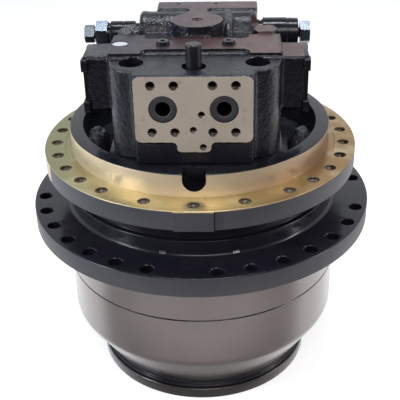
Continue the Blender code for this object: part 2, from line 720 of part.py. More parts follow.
def make_seal(name, cord_name, up):
    """One steel ring of the floating seal with its rubber ring; up is +1 for the still half."""
    low = SEAM / 2
    outer = SEAL_RING_INNER_RADIUS + SEAL_RING_WALL
    profile = [
        (SEAL_RING_INNER_RADIUS, low),
        (SEAL_RING_INNER_RADIUS + SEAL_FACE_WIDTH, low),
        (SEAL_RING_INNER_RADIUS + SEAL_FACE_WIDTH, SEAL_FACE_HEIGHT),
        (outer, SEAL_FACE_HEIGHT),
        (outer, SEAL_RING_HEIGHT),
        (SEAL_RING_INNER_RADIUS, SEAL_RING_HEIGHT),
    ]
    ring = turned(name, [(r, SEAL_FACE_LEVEL + up * z) for r, z in profile])
    section = (SEAL_HOUSING_RADIUS - outer) / 2 - SEAM
    middle = (outer + section + SEAM, SEAL_FACE_LEVEL + up * (SEAL_RING_HEIGHT - section))
    cord = turned(cord_name, circle(section, 4, middle))
    return ring, cord


def make_bearing(name, top):
    """Roller bearing: inner race on the spindle, outer race in the hub, and the rollers in their cage."""
    bottom = top - BEARING_WIDTH
    inner_track = BEARING_BORE_RADIUS + BEARING_RACE_WALL
    outer_track = BEARING_OUTER_RADIUS - SEAM - BEARING_RACE_WALL
    inner = turned(f"{name}_inner_race", tube(BEARING_BORE_RADIUS, inner_track, bottom, top))
    outer = turned(f"{name}_outer_race", tube(outer_track, BEARING_OUTER_RADIUS - SEAM, bottom, top))
    low_roller = inner_track + SEAM
    high_roller = outer_track * math.cos(math.pi / RING_FACETS) - SEAM
    middle = (low_roller + high_roller) / 2
    cage_outer = middle + BEARING_CAGE_WALL / 2
    pitch = math.tau / BEARING_ROLLERS
    roller = (high_roller - low_roller) / middle
    outside = []
    inside = []
    for k in range(BEARING_ROLLERS):
        for radius, inner_radius, share in (
            (cage_outer, middle - BEARING_CAGE_WALL / 2, -0.62),
            (high_roller, low_roller, -0.28),
            (high_roller, low_roller, 0.28),
            (cage_outer, middle - BEARING_CAGE_WALL / 2, 0.62),
        ):
            outside.append(polar(radius, pitch * k + share * roller))
            inside.append(polar(inner_radius, pitch * k + share * roller))
    rollers = prism(f"{name}_rollers", outside, bottom + 2 * MM, top - 2 * MM)
    cut(rollers, prism("roller_gap", inside, bottom - 1 * MM, top + 1 * MM))
    return inner, outer, rollers


def make_motor_casing():
    lip_outer = seal_lip_radius()
    lip_bottom = SEAL_FACE_LEVEL + 4 * MM
    profile = [
        (MOTOR_CHAMBER_RADIUS, MOTOR_FLOOR),
        (MOTOR_CHAMBER_RADIUS, SPIGOT_TOP),
        (SPIGOT_RADIUS, SPIGOT_TOP),
        (SPIGOT_RADIUS, FRAME_FACE),
        (FRAME_FLANGE_RADIUS, FRAME_FACE),
        (FRAME_FLANGE_RADIUS, FRAME_FLANGE_BOTTOM),
        (lip_outer, FRAME_FLANGE_BOTTOM),
        (lip_outer, lip_bottom),
        (SEAL_HOUSING_RADIUS, lip_bottom),
        (SEAL_HOUSING_RADIUS, SEAL_FACE_LEVEL + SEAL_RING_HEIGHT + 2 * MM),
        (SEAL_CORE_RADIUS, SEAL_FACE_LEVEL + SEAL_RING_HEIGHT + 2 * MM),
        (SEAL_CORE_RADIUS, seal_seat_level() + 3 * MM),
        (BEARING_BORE_RADIUS + BEARING_RACE_WALL, BEARING_SHOULDER + 4 * MM),
        (BEARING_BORE_RADIUS + BEARING_RACE_WALL, BEARING_SHOULDER),
        (SPINDLE_RADIUS, BEARING_SHOULDER),
        (SPINDLE_RADIUS, LOWER_BEARING_BOTTOM),
        (SPINDLE_NUT_SEAT_RADIUS, LOWER_BEARING_BOTTOM),
        (SPINDLE_NUT_SEAT_RADIUS, SPINDLE_END),
        (SPINDLE_NOSE_BORE_RADIUS, SPINDLE_END),
        (SPINDLE_NOSE_BORE_RADIUS, MOTOR_FLOOR),
    ]
    casing = turned("motor_casing", profile)
    half = TIMING_PAD_WIDTH / 2
    face = -FRAME_FLANGE_RADIUS - TIMING_PAD_PROUD
    pad = [(-half, face), (half, face), (half, -SPIGOT_RADIUS - 5 * MM), (-half, -SPIGOT_RADIUS - 5 * MM)]
    fuse(casing, prism("timing_pad", pad, FRAME_FLANGE_BOTTOM + 0.5 * MM, FRAME_FACE - 0.5 * MM))
    spots = []
    for angle in FRAME_HOLE_ANGLES:
        spots.append(polar(FRAME_HOLE_CIRCLE / 2, from_front(angle)))
        if angle:
            spots.append(polar(FRAME_HOLE_CIRCLE / 2, from_front(-angle)))
    spots.append(polar(FRAME_HOLE_CIRCLE / 2, from_front(180)))
    holes = [circle(FRAME_HOLE_RADIUS, BOLT_FACETS, s) for s in spots]
    low = FRAME_FLANGE_BOTTOM - 5 * MM
    cut(casing, prisms("frame_holes", holes, low, FRAME_FACE + 5 * MM))
    cut_notch(casing)
    for side in (-1, 1):
        cut_pocket(casing, side)
    thread = CASING_BOLT_RADIUS + SEAM
    spots = [(side * x, y) for side in (-1, 1) for x, y in casing_bolt_places()]
    threads = [circle(thread, BOLT_FACETS, s) for s in spots]
    cut(casing, prisms("bolt_threads", threads, SPIGOT_TOP - CASING_BOLT_THREAD - 4 * MM, SPIGOT_TOP + 5 * MM))
    return casing


def casing_bolt_places():
    return [(COLUMN_X, COLUMN_Y), (REAR_BOLT_X, REAR_BOLT_Y)]


def cut_notch(casing):
    """Round bottomed notch through the front of the spigot."""
    half = SPIGOT_NOTCH_WIDTH / 2
    floor = FRAME_FACE + SPIGOT_NOTCH_FLOOR
    outline = arc((0, floor + half), half, 180, 360, 6)
    outline += [(half, SPIGOT_TOP + 5 * MM), (-half, SPIGOT_TOP + 5 * MM)]
    inner = -SPIGOT_RADIUS + SPIGOT_NOTCH_DEPTH
    cut(casing, prism("notch", outline, -SPIGOT_RADIUS - 5 * MM, inner, along_y))


def cut_pocket(casing, side):
    """Open casting pocket between the spigot wall and the motor chamber, with a cast lump on its floor."""
    rim = arc((0, 0), POCKET_RADIUS, -POCKET_FRONT_ANGLE, POCKET_REAR_ANGLE, 8)
    outline = [(side * x, y) for x, y in rim]
    outline += [(side * POCKET_INNER_X, rim[-1][1]), (side * POCKET_INNER_X, rim[0][1])]
    floor = SPIGOT_TOP - POCKET_DEPTH
    pocket = prism("pocket", outline, floor, SPIGOT_TOP + 5 * MM)
    ring = circle(POCKET_LUMP_RADIUS, 8)
    lump = [(side * POCKET_LUMP_X + x * POCKET_LUMP_SQUEEZE, POCKET_LUMP_Y + y) for x, y in ring]
    cut(pocket, prism("lump", lump, floor - 5 * MM, floor + POCKET_LUMP_HEIGHT))
    cut(casing, pocket)


def make_bearing_nut():
    profile = tube(
        SPINDLE_NUT_SEAT_RADIUS + SEAM,
        SPINDLE_NUT_SEAT_RADIUS + BEARING_NUT_WALL,
        NUT_TOP - BEARING_NUT_HEIGHT,
        NUT_TOP,
    )
    return turned("bearing_nut", profile)


def make_planet(name, teeth, width, pin_radius, place, centres, bottom):
    planet = prism(name, gear_outline(teeth), bottom, bottom + width)
    bore = circle(bore_radius(pin_radius, SHAFT_FACETS), SHAFT_FACETS)
    cut(planet, prism("planet_bore", bore, bottom - 1 * MM, bottom + width + 1 * MM))
    planet.rotation_euler.z = planet_clock(teeth, place)
    planet.location = (*polar(centres, place), 0)
    return planet


def make_pin(name, radius, low, top, place, centres):
    """Planet pin with a wider head under the planet; the head's top is where the planet runs."""
    head = low + PIN_HEAD_HEIGHT
    profile = [(0, low), (radius + 5 * MM, low), (radius + 5 * MM, head), (radius, head), (radius, top), (0, top)]
    pin = turned(name, profile, SHAFT_FACETS)
    pin.location = (*polar(centres, place), 0)
    return pin


def pin_holes(radius, centres):
    return [circle(radius + SEAM, SHAFT_FACETS, polar(centres, a)) for a in planet_places()]


def make_carrier_2():
    profile = tube(CARRIER_2_BORE_RADIUS, CARRIER_2_RADIUS, CARRIER_2_BOTTOM, CARRIER_2_TOP)
    carrier = turned("carrier_2", profile, SHAFT_FACETS * 2)
    holes = pin_holes(STAGE_2_PIN_RADIUS, STAGE_2_CENTRES)
    cut(carrier, prisms("pin_holes", holes, CARRIER_2_BOTTOM - 1 * MM, CARRIER_2_TOP + 1 * MM))
    return carrier


def make_carrier_1():
    outer = STAGE_1_CENTRES + CARRIER_1_RIM
    inner = bore_radius(SUN_2_NECK_RADIUS, SHAFT_FACETS * 2)
    carrier = turned("carrier_1", tube(inner, outer, CARRIER_1_BOTTOM, CARRIER_1_TOP), SHAFT_FACETS * 2)
    holes = pin_holes(STAGE_1_PIN_RADIUS, STAGE_1_CENTRES)
    cut(carrier, prisms("pin_holes", holes, CARRIER_1_BOTTOM - 1 * MM, CARRIER_1_TOP + 1 * MM))
    return carrier


def make_sun_2():
    """Second sun, with the splined neck that carries the first carrier."""
    sun = prism("sun_2", gear_outline(STAGE_2_SUN_TEETH, 2), PLANET_2_BOTTOM, PLANET_2_TOP)
    neck = circle(SUN_2_NECK_RADIUS, SHAFT_FACETS * 2)
    fuse(sun, prism("neck", neck, CARRIER_1_BOTTOM, PLANET_2_BOTTOM + 2 * MM))
    bore = circle(SUN_2_BORE_RADIUS, SHAFT_FACETS)
    cut(sun, prism("sun_bore", bore, CARRIER_1_BOTTOM - 1 * MM, PLANET_2_TOP + 1 * MM))
    sun.rotation_euler.z = sun_clock(STAGE_2_SUN_TEETH, STAGE_2_PLANET_TEETH, planet_places()[0])
    return sun


def make_sun_1(shaft_top):
    sun = prism("sun_1", gear_outline(STAGE_1_SUN_TEETH, 2), PLANET_1_BOTTOM, PLANET_1_TOP)
    stem = circle(SUN_1_SHAFT_RADIUS, SHAFT_FACETS)
    fuse(sun, prism("stem", stem, PLANET_1_TOP - 2 * MM, shaft_top))
    sun.rotation_euler.z = sun_clock(STAGE_1_SUN_TEETH, STAGE_1_PLANET_TEETH, planet_places()[0])
    return sun


def make_motor_shaft(bottom, top):
    """Motor shaft; its lower end is the socket that drives the first sun."""
    outer = SUN_1_SHAFT_RADIUS + SHAFT_SOCKET_WALL
    socket = bottom + SHAFT_SOCKET_DEPTH
    bore = bore_radius(SUN_1_SHAFT_RADIUS, SHAFT_FACETS)
    profile = [
        (0, socket),
        (bore, socket),
        (bore, bottom),
        (outer, bottom),
        (outer, socket),
        (MOTOR_SHAFT_RADIUS, socket + 2 * MM),
        (MOTOR_SHAFT_RADIUS, top),
        (0, top),
    ]
    return turned("motor_shaft", profile, SHAFT_FACETS)


def make_shaft_bearing():
    """Roller bearing of the motor shaft in the floor of the motor chamber, drawn as one ring."""
    inner = max(MOTOR_SHAFT_RADIUS, SUN_1_SHAFT_RADIUS + SHAFT_SOCKET_WALL)
    ring = circle(SPINDLE_NOSE_BORE_RADIUS - SEAM, RING_FACETS)
    low = MOTOR_FLOOR - SHAFT_BEARING_WIDTH
    bearing = prism("shaft_bearing", ring, low, MOTOR_FLOOR)
    bore = circle(bore_radius(inner, SHAFT_FACETS), SHAFT_FACETS)
    return cut(bearing, prism("shaft_bearing_bore", bore, low - 1 * MM, MOTOR_FLOOR + 1 * MM))


def make_swash_plate():
    profile = tube(MOTOR_SHAFT_RADIUS + 8 * MM, SWASH_PLATE_RADIUS, SWASH_BOTTOM, SWASH_TOP)
    return turned("swash_plate", profile, SHAFT_FACETS * 2)


def piston_places():
    return [math.tau * k / PISTONS for k in range(PISTONS)]


def make_pistons():
    """Pistons with their slippers, held by the retainer plate; drawn at mid stroke as one piece."""
    top = RETAINER_BOTTOM + RETAINER_THICKNESS
    inner = MOTOR_SHAFT_RADIUS + SEAM
    outer = PISTON_CIRCLE / 2 + PISTON_RADIUS + 3 * MM
    pistons = turned("pistons", tube(inner, outer, RETAINER_BOTTOM, top), SHAFT_FACETS)
    places = [polar(PISTON_CIRCLE / 2, a) for a in piston_places()]
    rods = [circle(PISTON_RADIUS, BOLT_FACETS, p) for p in places]
    return fuse(pistons, prisms("rods", rods, SWASH_TOP + SEAM, RETAINER_BOTTOM + PISTON_LENGTH))


def make_cylinder_block():
    block = prism("cylinder_block", circle(BLOCK_RADIUS, SHAFT_FACETS * 2), BLOCK_CYL_BOTTOM, BLOCK_CYL_TOP)
    bore = circle(MOTOR_SHAFT_RADIUS + SEAM, SHAFT_FACETS)
    cut(block, prism("block_bore", bore, BLOCK_CYL_BOTTOM - 1 * MM, BLOCK_CYL_TOP + 1 * MM))
    places = [polar(PISTON_CIRCLE / 2, a) for a in piston_places()]
    bores = [circle(PISTON_RADIUS + SEAM, BOLT_FACETS, p) for p in places]
    low = BLOCK_CYL_BOTTOM - 1 * MM
    return cut(block, prisms("piston_bores", bores, low, BLOCK_CYL_BOTTOM + BLOCK_BORE_DEPTH))


def make_valve_plate():
    outer = MOTOR_CHAMBER_RADIUS - 20 * MM
    inner = MOTOR_SHAFT_RADIUS + 4 * MM
    return turned("valve_plate", tube(inner, outer, VALVE_PLATE_BOTTOM, VALVE_PLATE_TOP), SHAFT_FACETS * 2)


def brake_level():
    return BLOCK_CYL_BOTTOM + BRAKE_HEIGHT_ON_BLOCK


def make_brake_disc():
    inner = circle(BLOCK_RADIUS + SEAM, SHAFT_FACETS * 2)
    outer = circle(MOTOR_CHAMBER_RADIUS - 3 * MM, RING_FACETS)
    disc = prism("brake_disc", outer, brake_level(), brake_level() + BRAKE_DISC_THICKNESS)
    low = brake_level() - 1 * MM
    return cut(disc, prism("disc_bore", inner, low, brake_level() + BRAKE_DISC_THICKNESS + 1 * MM))


def make_brake_piston():
    low = brake_level() + BRAKE_DISC_THICKNESS + SEAM
    inner = BLOCK_RADIUS + 3 * MM
    outer = MOTOR_CHAMBER_RADIUS - SEAM
    return turned("brake_piston", tube(inner, outer, low, low + BRAKE_PISTON_HEIGHT))


def casing_outline(port_y):
    """Plan of the valve casing: port block in front, a round column round each front bolt, chamfered rear."""
    port_half = PORT_FACE_WIDTH / 2
    right = [(port_half, port_y), (port_half + 3 * MM, COLUMN_Y - COLUMN_RADIUS - 3 * MM)]
    right += arc((COLUMN_X, COLUMN_Y), COLUMN_RADIUS, -68, 0, 4)
    right += [
        (CASING_HALF_WIDTH, BAND_PAD_FRONT_Y),
        (CASING_HALF_WIDTH, CASING_REAR_Y - CASING_REAR_CHAMFER),
        (CASING_HALF_WIDTH - CASING_REAR_CHAMFER, CASING_REAR_Y),
    ]
    left = [(-x, y) for x, y in reversed(right)]
    return right + left


def upper_outline(port_y):
    """The same plan above the shoulder, where the casing is narrower behind the band."""
    front = [p for p in casing_outline(port_y) if p[1] <= BAND_PAD_FRONT_Y + 1 * MM]
    right = [p for p in front if p[0] > 0]
    left = [p for p in front if p[0] < 0]
    half = HOUSING_HALF_LENGTH - UPPER_INSET
    middle = [
        (CASING_HALF_WIDTH, UPPER_STEP_Y),
        (half, UPPER_STEP_Y),
        (half, RIDGE_REAR_Y),
        (-half, RIDGE_REAR_Y),
        (-half, UPPER_STEP_Y),
        (-CASING_HALF_WIDTH, UPPER_STEP_Y),
    ]
    return right + middle + left


def band_outline():
    """Machined band on top: a pad at each side joined by a narrower strip with filleted corners."""
    outer = CASING_HALF_WIDTH + 1 * MM
    inner = BAND_PAD_INNER_X
    fillet = BAND_FILLET
    right = [(outer, BAND_PAD_FRONT_Y), (outer, BAND_PAD_REAR_Y), (inner, BAND_PAD_REAR_Y)]
    right += arc((inner - fillet, BAND_REAR_Y + fillet), fillet, 0, -90, 2)
    front = [(inner, BAND_PAD_FRONT_Y)]
    front += arc((inner - fillet, BAND_FRONT_Y - fillet), fillet, 0, 90, 2)
    rear_left = [(-x, y) for x, y in reversed(right)]
    front_left = [(-x, y) for x, y in front]
    return right + rear_left + front_left + list(reversed(front))


def wing_outline():
    """Section of a wing across the spool, with chamfered edges, in Y and Z."""
    front = SPOOL_Y - WING_HALF_DEPTH
    rear = SPOOL_Y + WING_HALF_DEPTH
    low = SPIGOT_TOP + WING_BOTTOM
    high = SPIGOT_TOP + WING_TOP
    edge = WING_CHAMFER
    return [
        (front + edge, low),
        (rear - edge, low),
        (rear, low + edge),
        (rear, high - edge),
        (rear - edge, high),
        (front + edge / 2, high),
        (front, high - edge / 2),
        (front, low + edge),
    ]


def port_face_outline():
    """Machined port face with the tab below it, in X and Z."""
    half = PORT_FACE_WIDTH / 2
    tab = PORT_TAB_WIDTH / 2
    low = SPIGOT_TOP + PORT_FACE_BOTTOM
    high = SPIGOT_TOP + PORT_FACE_TOP
    corner = 4 * MM
    fillet = 6 * MM
    right = arc((half - corner, low + corner), corner, -90, 0, 2)
    right += arc((half - corner, high - corner), corner, 0, 90, 2)
    drop = low - PORT_TAB_DROP
    tab_side = [(tab - 3 * MM, drop), (tab, drop + 3 * MM)]
    tab_side += arc((tab + fillet, low - fillet), fillet, 180, 90, 2)
    right = tab_side + right
    left = [(-x, z) for x, z in reversed(right)]
    return right + left


def make_valve_casing():
    body_front = PORT_FACE_Y + PORT_FACE_PROUD
    casing = prism("valve_casing", casing_outline(body_front), CASING_BOTTOM, SPIGOT_TOP + SHOULDER_TOP)
    low = SPIGOT_TOP + SHOULDER_TOP - 3 * MM
    fuse(casing, prism("upper_block", upper_outline(body_front), low, BLOCK_LEVEL))
    for side in (-1, 1):
        ear = circle(REAR_EAR_RADIUS, SHAFT_FACETS, (side * REAR_BOLT_X, REAR_BOLT_Y))
        fuse(casing, prism("ear", ear, CASING_BOTTOM, SPIGOT_TOP + REAR_EAR_HEIGHT))
    fuse(casing, prism("port_face", port_face_outline(), PORT_FACE_Y, body_front + 10 * MM, along_y))
    fuse(casing, prism("band", band_outline(), BLOCK_LEVEL - 12 * MM, BAND_LEVEL))
    fuse(casing, prism("wings", wing_outline(), -WING_OUTER_X, WING_OUTER_X, along_x))
    add_spool_housing(casing)
    spigot = circle(MOTOR_CHAMBER_RADIUS - SEAM, RING_FACETS)
    fuse(casing, prism("spigot", spigot, CASING_SPIGOT_BOTTOM, CASING_BOTTOM + 5 * MM))
    cut_ports(casing)
    cut_top_bores(casing)
    return casing


def housing_level():
    return BLOCK_LEVEL - HOUSING_BELOW_BLOCK_TOP


def add_spool_housing(casing):
    """Cast cylinder across the rear, with the round boss, the ridge, the web and the two side bosses."""
    level = housing_level()
    end = 3 * MM
    profile = [
        (0, -HOUSING_HALF_LENGTH),
        (HOUSING_RADIUS - end, -HOUSING_HALF_LENGTH),
        (HOUSING_RADIUS, -HOUSING_HALF_LENGTH + end),
        (HOUSING_RADIUS, HOUSING_HALF_LENGTH - end),
        (HOUSING_RADIUS - end, HOUSING_HALF_LENGTH),
        (0, HOUSING_HALF_LENGTH),
    ]
    fuse(casing, turned("housing", profile, 16, (1, 0, 0), (0, HOUSING_Y, level)))
    fuse(casing, prism("boss", circle(BOSS_RADIUS, 20), BLOCK_LEVEL - 10 * MM, BOSS_LEVEL))
    ridge = rounded_box(RIDGE_LEFT_X, RIDGE_RIGHT_X, RIDGE_FRONT_Y, RIDGE_REAR_Y, 5 * MM)
    fuse(casing, prism("ridge", ridge, level, BOSS_LEVEL))
    half = RIDGE_NECK_WIDTH / 2
    neck = [(-half, 0), (half, 0), (half, RIDGE_FRONT_Y + 8 * MM), (-half, RIDGE_FRONT_Y + 8 * MM)]
    fuse(casing, prism("ridge_neck", neck, level, BOSS_LEVEL))
    web = rounded_box(WEB_X - WEB_WIDTH / 2, WEB_X + WEB_WIDTH / 2, 0, HOUSING_Y, 2 * MM, 1)
    fuse(casing, prism("web", web, level, BOSS_LEVEL - 4 * MM))
    for side in (-1, 1):
        boss = circle(SIDE_BOSS_RADIUS, 8, (side * SIDE_BOSS_X, SIDE_BOSS_Y), math.pi / 8)
        low = SPIGOT_TOP + SHOULDER_TOP - 5 * MM
        fuse(casing, prism("side_boss", boss, low, BLOCK_LEVEL + SIDE_BOSS_ABOVE_BLOCK))
    for side in (-1, 1):
        end_x = side * HOUSING_HALF_LENGTH
        inner = end_x - side * (RELIEF_NOSE_LENGTH + 2 * MM)
        nose = circle(RELIEF_NOSE_RADIUS + SEAM, SHAFT_FACETS, (HOUSING_Y, level))
        cut(casing, prism("nose_bore", nose, inner, end_x + side * 5 * MM, along_x))


def port_centres():
    level = SPIGOT_TOP + PORT_HEIGHT
    return [(-PORT_SPACING / 2, level), (PORT_SPACING / 2, level)]


def cut_ports(casing):
    ports = [circle(PORT_BORE_RADIUS, SHAFT_FACETS, c) for c in port_centres()]
    out = PORT_FACE_Y - 5 * MM
    cut(casing, prisms("port_bores", ports, out, PORT_FACE_Y + PORT_BORE_DEPTH, along_y))
    bolts = []
    for x, z in port_centres():
        for dx in (-0.5, 0.5):
            for dz in (-0.5, 0.5):
                spot = (x + dx * PORT_BOLT_SPACING_X, z + dz * PORT_BOLT_SPACING_Z)
                bolts.append(circle(PORT_BOLT_RADIUS, BOLT_FACETS, spot))
    cut(casing, prisms("port_bolts", bolts, out, PORT_FACE_Y + PORT_BOLT_DEPTH, along_y))
    gauges = [circle(GAUGE_HOLE_RADIUS, BOLT_FACETS, (x * MM, SPIGOT_TOP + z * MM)) for x, z in GAUGE_HOLES]
    cut(casing, prisms("gauge_holes", gauges, out, PORT_FACE_Y + PORT_BOLT_DEPTH / 2, along_y))


def cut_top_bores(casing):
    above = BOSS_LEVEL + 10 * MM
    fronts = [(side * COLUMN_X, COLUMN_Y) for side in (-1, 1)]
    heads = [circle(COUNTERBORE_RADIUS, SHAFT_FACETS, f) for f in fronts]
    cut(casing, prisms("counterbores", heads, SPIGOT_TOP + COUNTERBORE_FLOOR, above))
    spots = [(side * x, y) for side in (-1, 1) for x, y in casing_bolt_places()]
    shanks = [circle(CASING_BOLT_RADIUS + SEAM, BOLT_FACETS, s) for s in spots]
    cut(casing, prisms("bolt_bores", shanks, CASING_BOTTOM - 5 * MM, SPIGOT_TOP + COUNTERBORE_FLOOR + 3 * MM))
    drain = circle(DRAIN_BORE_RADIUS, SHAFT_FACETS, (0, DRAIN_Y))
    cut(casing, prism("drain_bore", drain, BLOCK_LEVEL - DRAIN_BORE_DEPTH, above))
    seat = circle(DRAIN_PLUG_RADIUS + SEAM, SHAFT_FACETS, (0, DRAIN_Y))
    low = BLOCK_LEVEL - DRAIN_BORE_DEPTH - DRAIN_PLUG_SEAT - SEAM
    cut(casing, prism("drain_seat", seat, low, BLOCK_LEVEL))
    for side in (-1, 1):
        spot = (side * BAND_PLUG_X, BAND_PLUG_Y)
        shank = circle(BAND_PLUG_SHANK_RADIUS + SEAM, SHAFT_FACETS, spot)
        cut(casing, prism("band_bore", shank, BAND_LEVEL - BAND_PLUG_SHANK_LENGTH - 1 * MM, above))
    disc = circle(BLANK_DISC_RADIUS + SEAM, SHAFT_FACETS, (BLANK_DISC_X, BLANK_DISC_Y))
    cut(casing, prism("disc_seat", disc, BAND_LEVEL - BLANK_DISC_THICKNESS - SEAM, above))
    plug = circle(BOSS_PLUG_RADIUS + SEAM, SHAFT_FACETS)
    cut(casing, prism("boss_bore", plug, BOSS_LEVEL - BOSS_PLUG_LENGTH - SEAM, above))
    spool = circle(SPOOL_BORE_RADIUS, SHAFT_FACETS, (SPOOL_Y, SPIGOT_TOP + SPOOL_HEIGHT))
    reach = WING_OUTER_X + 5 * MM
    cut(casing, prism("spool_bore", spool, -reach, reach, along_x))
    shaft = circle(bore_radius(MOTOR_SHAFT_RADIUS, SHAFT_FACETS), SHAFT_FACETS)
    cut(casing, prism("shaft_bore", shaft, CASING_SPIGOT_BOTTOM - 5 * MM, CASING_BOTTOM + 12 * MM))


def make_port_plug(name, centre):
    """Rubber dust plug pushed into a port, hollow towards the front."""
    radius = PORT_BORE_RADIUS - SEAM
    front = PORT_FACE_Y + SEAM
    plug = prism(name, circle(radius, SHAFT_FACETS, centre), front, front + PORT_PLUG_LENGTH, along_y)
    hollow = circle(PORT_PLUG_HOLE_RADIUS, SHAFT_FACETS, centre)
    rear = front + PORT_PLUG_LENGTH - PORT_PLUG_FLOOR
    return cut(plug, prism("plug_hollow", hollow, front - 5 * MM, rear, along_y))


def make_drain_plug():
    """Tall transport plug in the drain port."""
    low = BLOCK_LEVEL - DRAIN_BORE_DEPTH - DRAIN_PLUG_SEAT
    profile = [
        (0, low),
        (DRAIN_PLUG_RADIUS, low),
        (DRAIN_PLUG_RADIUS, low + DRAIN_PLUG_LENGTH - 0.6 * MM),
        (DRAIN_PLUG_RADIUS - 0.8 * MM, low + DRAIN_PLUG_LENGTH),
        (0, low + DRAIN_PLUG_LENGTH),
    ]
    return turned("drain_plug", profile, SHAFT_FACETS, centre=(0, DRAIN_Y, 0))


def make_band_plug(name, x):
    """Flanged plug with a hexagon socket."""
    head = BAND_LEVEL + SEAM
    top = head + BAND_PLUG_HEAD_HEIGHT
    profile = [
        (0, head - BAND_PLUG_SHANK_LENGTH),
        (BAND_PLUG_SHANK_RADIUS, head - BAND_PLUG_SHANK_LENGTH),
        (BAND_PLUG_SHANK_RADIUS, head),
        (BAND_PLUG_HEAD_RADIUS, head),
        (BAND_PLUG_HEAD_RADIUS, top),
        (0, top),
    ]
    plug = turned(name, profile, SHAFT_FACETS)
    socket = circle(PLUG_SOCKET_RADIUS, 6)
    cut(plug, prism("socket", socket, top - PLUG_SOCKET_DEPTH, top + 5 * MM))
    plug.location = (x, BAND_PLUG_Y, 0)
    return plug


def make_boss_plug():
    low = BOSS_LEVEL - BOSS_PLUG_LENGTH
    plug = prism("boss_plug", circle(BOSS_PLUG_RADIUS, SHAFT_FACETS), low, BOSS_LEVEL - 0.5 * MM)
    return cut(plug, prism("socket", circle(PLUG_SOCKET_RADIUS, 6), low + 5 * MM, BOSS_LEVEL + 5 * MM))


def make_blank_disc():
    low = BAND_LEVEL - BLANK_DISC_THICKNESS
    spot = (BLANK_DISC_X, BLANK_DISC_Y)
    return prism("blank_disc", circle(BLANK_DISC_RADIUS, SHAFT_FACETS, spot), low, BAND_LEVEL)


def make_relief_valve(name, side):
    """Relief valve cartridge screwed into the end of the spool housing."""
    start = HOUSING_HALF_LENGTH + SEAM
    profile = [(0, start - RELIEF_NOSE_LENGTH), (RELIEF_NOSE_RADIUS, start - RELIEF_NOSE_LENGTH)]
    profile += [(RELIEF_NOSE_RADIUS, start)]
    if side > 0:
        body = start + RIGHT_RELIEF_NECK_LENGTH
        end = body + RIGHT_RELIEF_BODY_LENGTH
        groove = body + RIGHT_RELIEF_BODY_LENGTH * 0.7
        profile += [(RIGHT_RELIEF_NECK_RADIUS, start), (RIGHT_RELIEF_NECK_RADIUS, body)]
        profile += [(RIGHT_RELIEF_BODY_RADIUS, body), (RIGHT_RELIEF_BODY_RADIUS, groove)]
        profile += [(RIGHT_RELIEF_BODY_RADIUS - RELIEF_GROOVE_DEPTH, groove + 0.5 * MM)]
        profile += [(RIGHT_RELIEF_BODY_RADIUS - RELIEF_GROOVE_DEPTH, end)]
    else:
        body = start + LEFT_RELIEF_NECK_LENGTH
        end = body + LEFT_RELIEF_BODY_LENGTH
        profile += [(LEFT_RELIEF_NECK_RADIUS, start), (LEFT_RELIEF_NECK_RADIUS, body)]
        profile += [(LEFT_RELIEF_BODY_RADIUS, body), (LEFT_RELIEF_BODY_RADIUS, end)]
    tip = relief_cap_start(side) + RELIEF_STUD_IN_CAP
    profile += [(RELIEF_STUD_RADIUS, end), (RELIEF_STUD_RADIUS, tip), (0, tip)]
    centre = (0, HOUSING_Y, housing_level())
    valve = turned(name, [(r, side * x) for r, x in profile], SHAFT_FACETS, (1, 0, 0), centre)
    if side < 0:
        hexagon = circle(LEFT_RELIEF_HEX_ACROSS / math.sqrt(3), 6, centre[1:], math.pi / 2)
        fuse(valve, prism("hexagon", hexagon, side * (end - 1 * MM), side * (end + LEFT_RELIEF_HEX_LENGTH), along_x))
    return valve


def relief_cap_start(side):
    start = HOUSING_HALF_LENGTH + SEAM + RELIEF_THREAD_SHOWN
    if side > 0:
        return start + RIGHT_RELIEF_NECK_LENGTH + RIGHT_RELIEF_BODY_LENGTH
    return start + LEFT_RELIEF_NECK_LENGTH + LEFT_RELIEF_BODY_LENGTH + LEFT_RELIEF_HEX_LENGTH


def make_relief_cap(name, side):
    """Hexagon cap nut on the end of a relief valve; the left one lies on a flat, the right one on a corner."""
    across = RELIEF_CAP_ACROSS_RIGHT if side > 0 else RELIEF_CAP_ACROSS_LEFT
    centre = (HOUSING_Y, housing_level())
    low = relief_cap_start(side)
    outline = circle(across / math.sqrt(3), 6, centre, math.pi / 2 if side > 0 else 0)
    cap = prism(name, outline, side * low, side * (low + RELIEF_CAP_LENGTH), along_x)
    bore = circle(RELIEF_STUD_RADIUS + SEAM, SHAFT_FACETS, centre)
    end = side * (low + RELIEF_STUD_IN_CAP + SEAM)
    return cut(cap, prism("cap_bore", bore, side * (low - 1 * MM), end, along_x))


def make_spool_cap(name, side):
    """Cover plate of the counterbalance spool, with an ear at each corner for its screws."""
    start = WING_OUTER_X + SEAM
    outline = wing_outline()
    cap = prism(name, outline, side * start, side * (start + CAP_THICKNESS - 2 * MM), along_x)
    front = SPOOL_Y - WING_HALF_DEPTH - CAP_EAR_PROUD
    rear = SPOOL_Y + WING_HALF_DEPTH
    low = SPIGOT_TOP + WING_BOTTOM
    high = SPIGOT_TOP + WING_TOP
    for bottom in (low + 2 * MM, high - 2 * MM - CAP_EAR_LENGTH):
        for y in (front, rear - CAP_EAR_LENGTH):
            ear = rounded_box(y, y + CAP_EAR_LENGTH, bottom, bottom + CAP_EAR_LENGTH, 3 * MM, 1)
            fuse(cap, prism("ear", ear, side * start, side * (start + CAP_THICKNESS), along_x))
    return cap


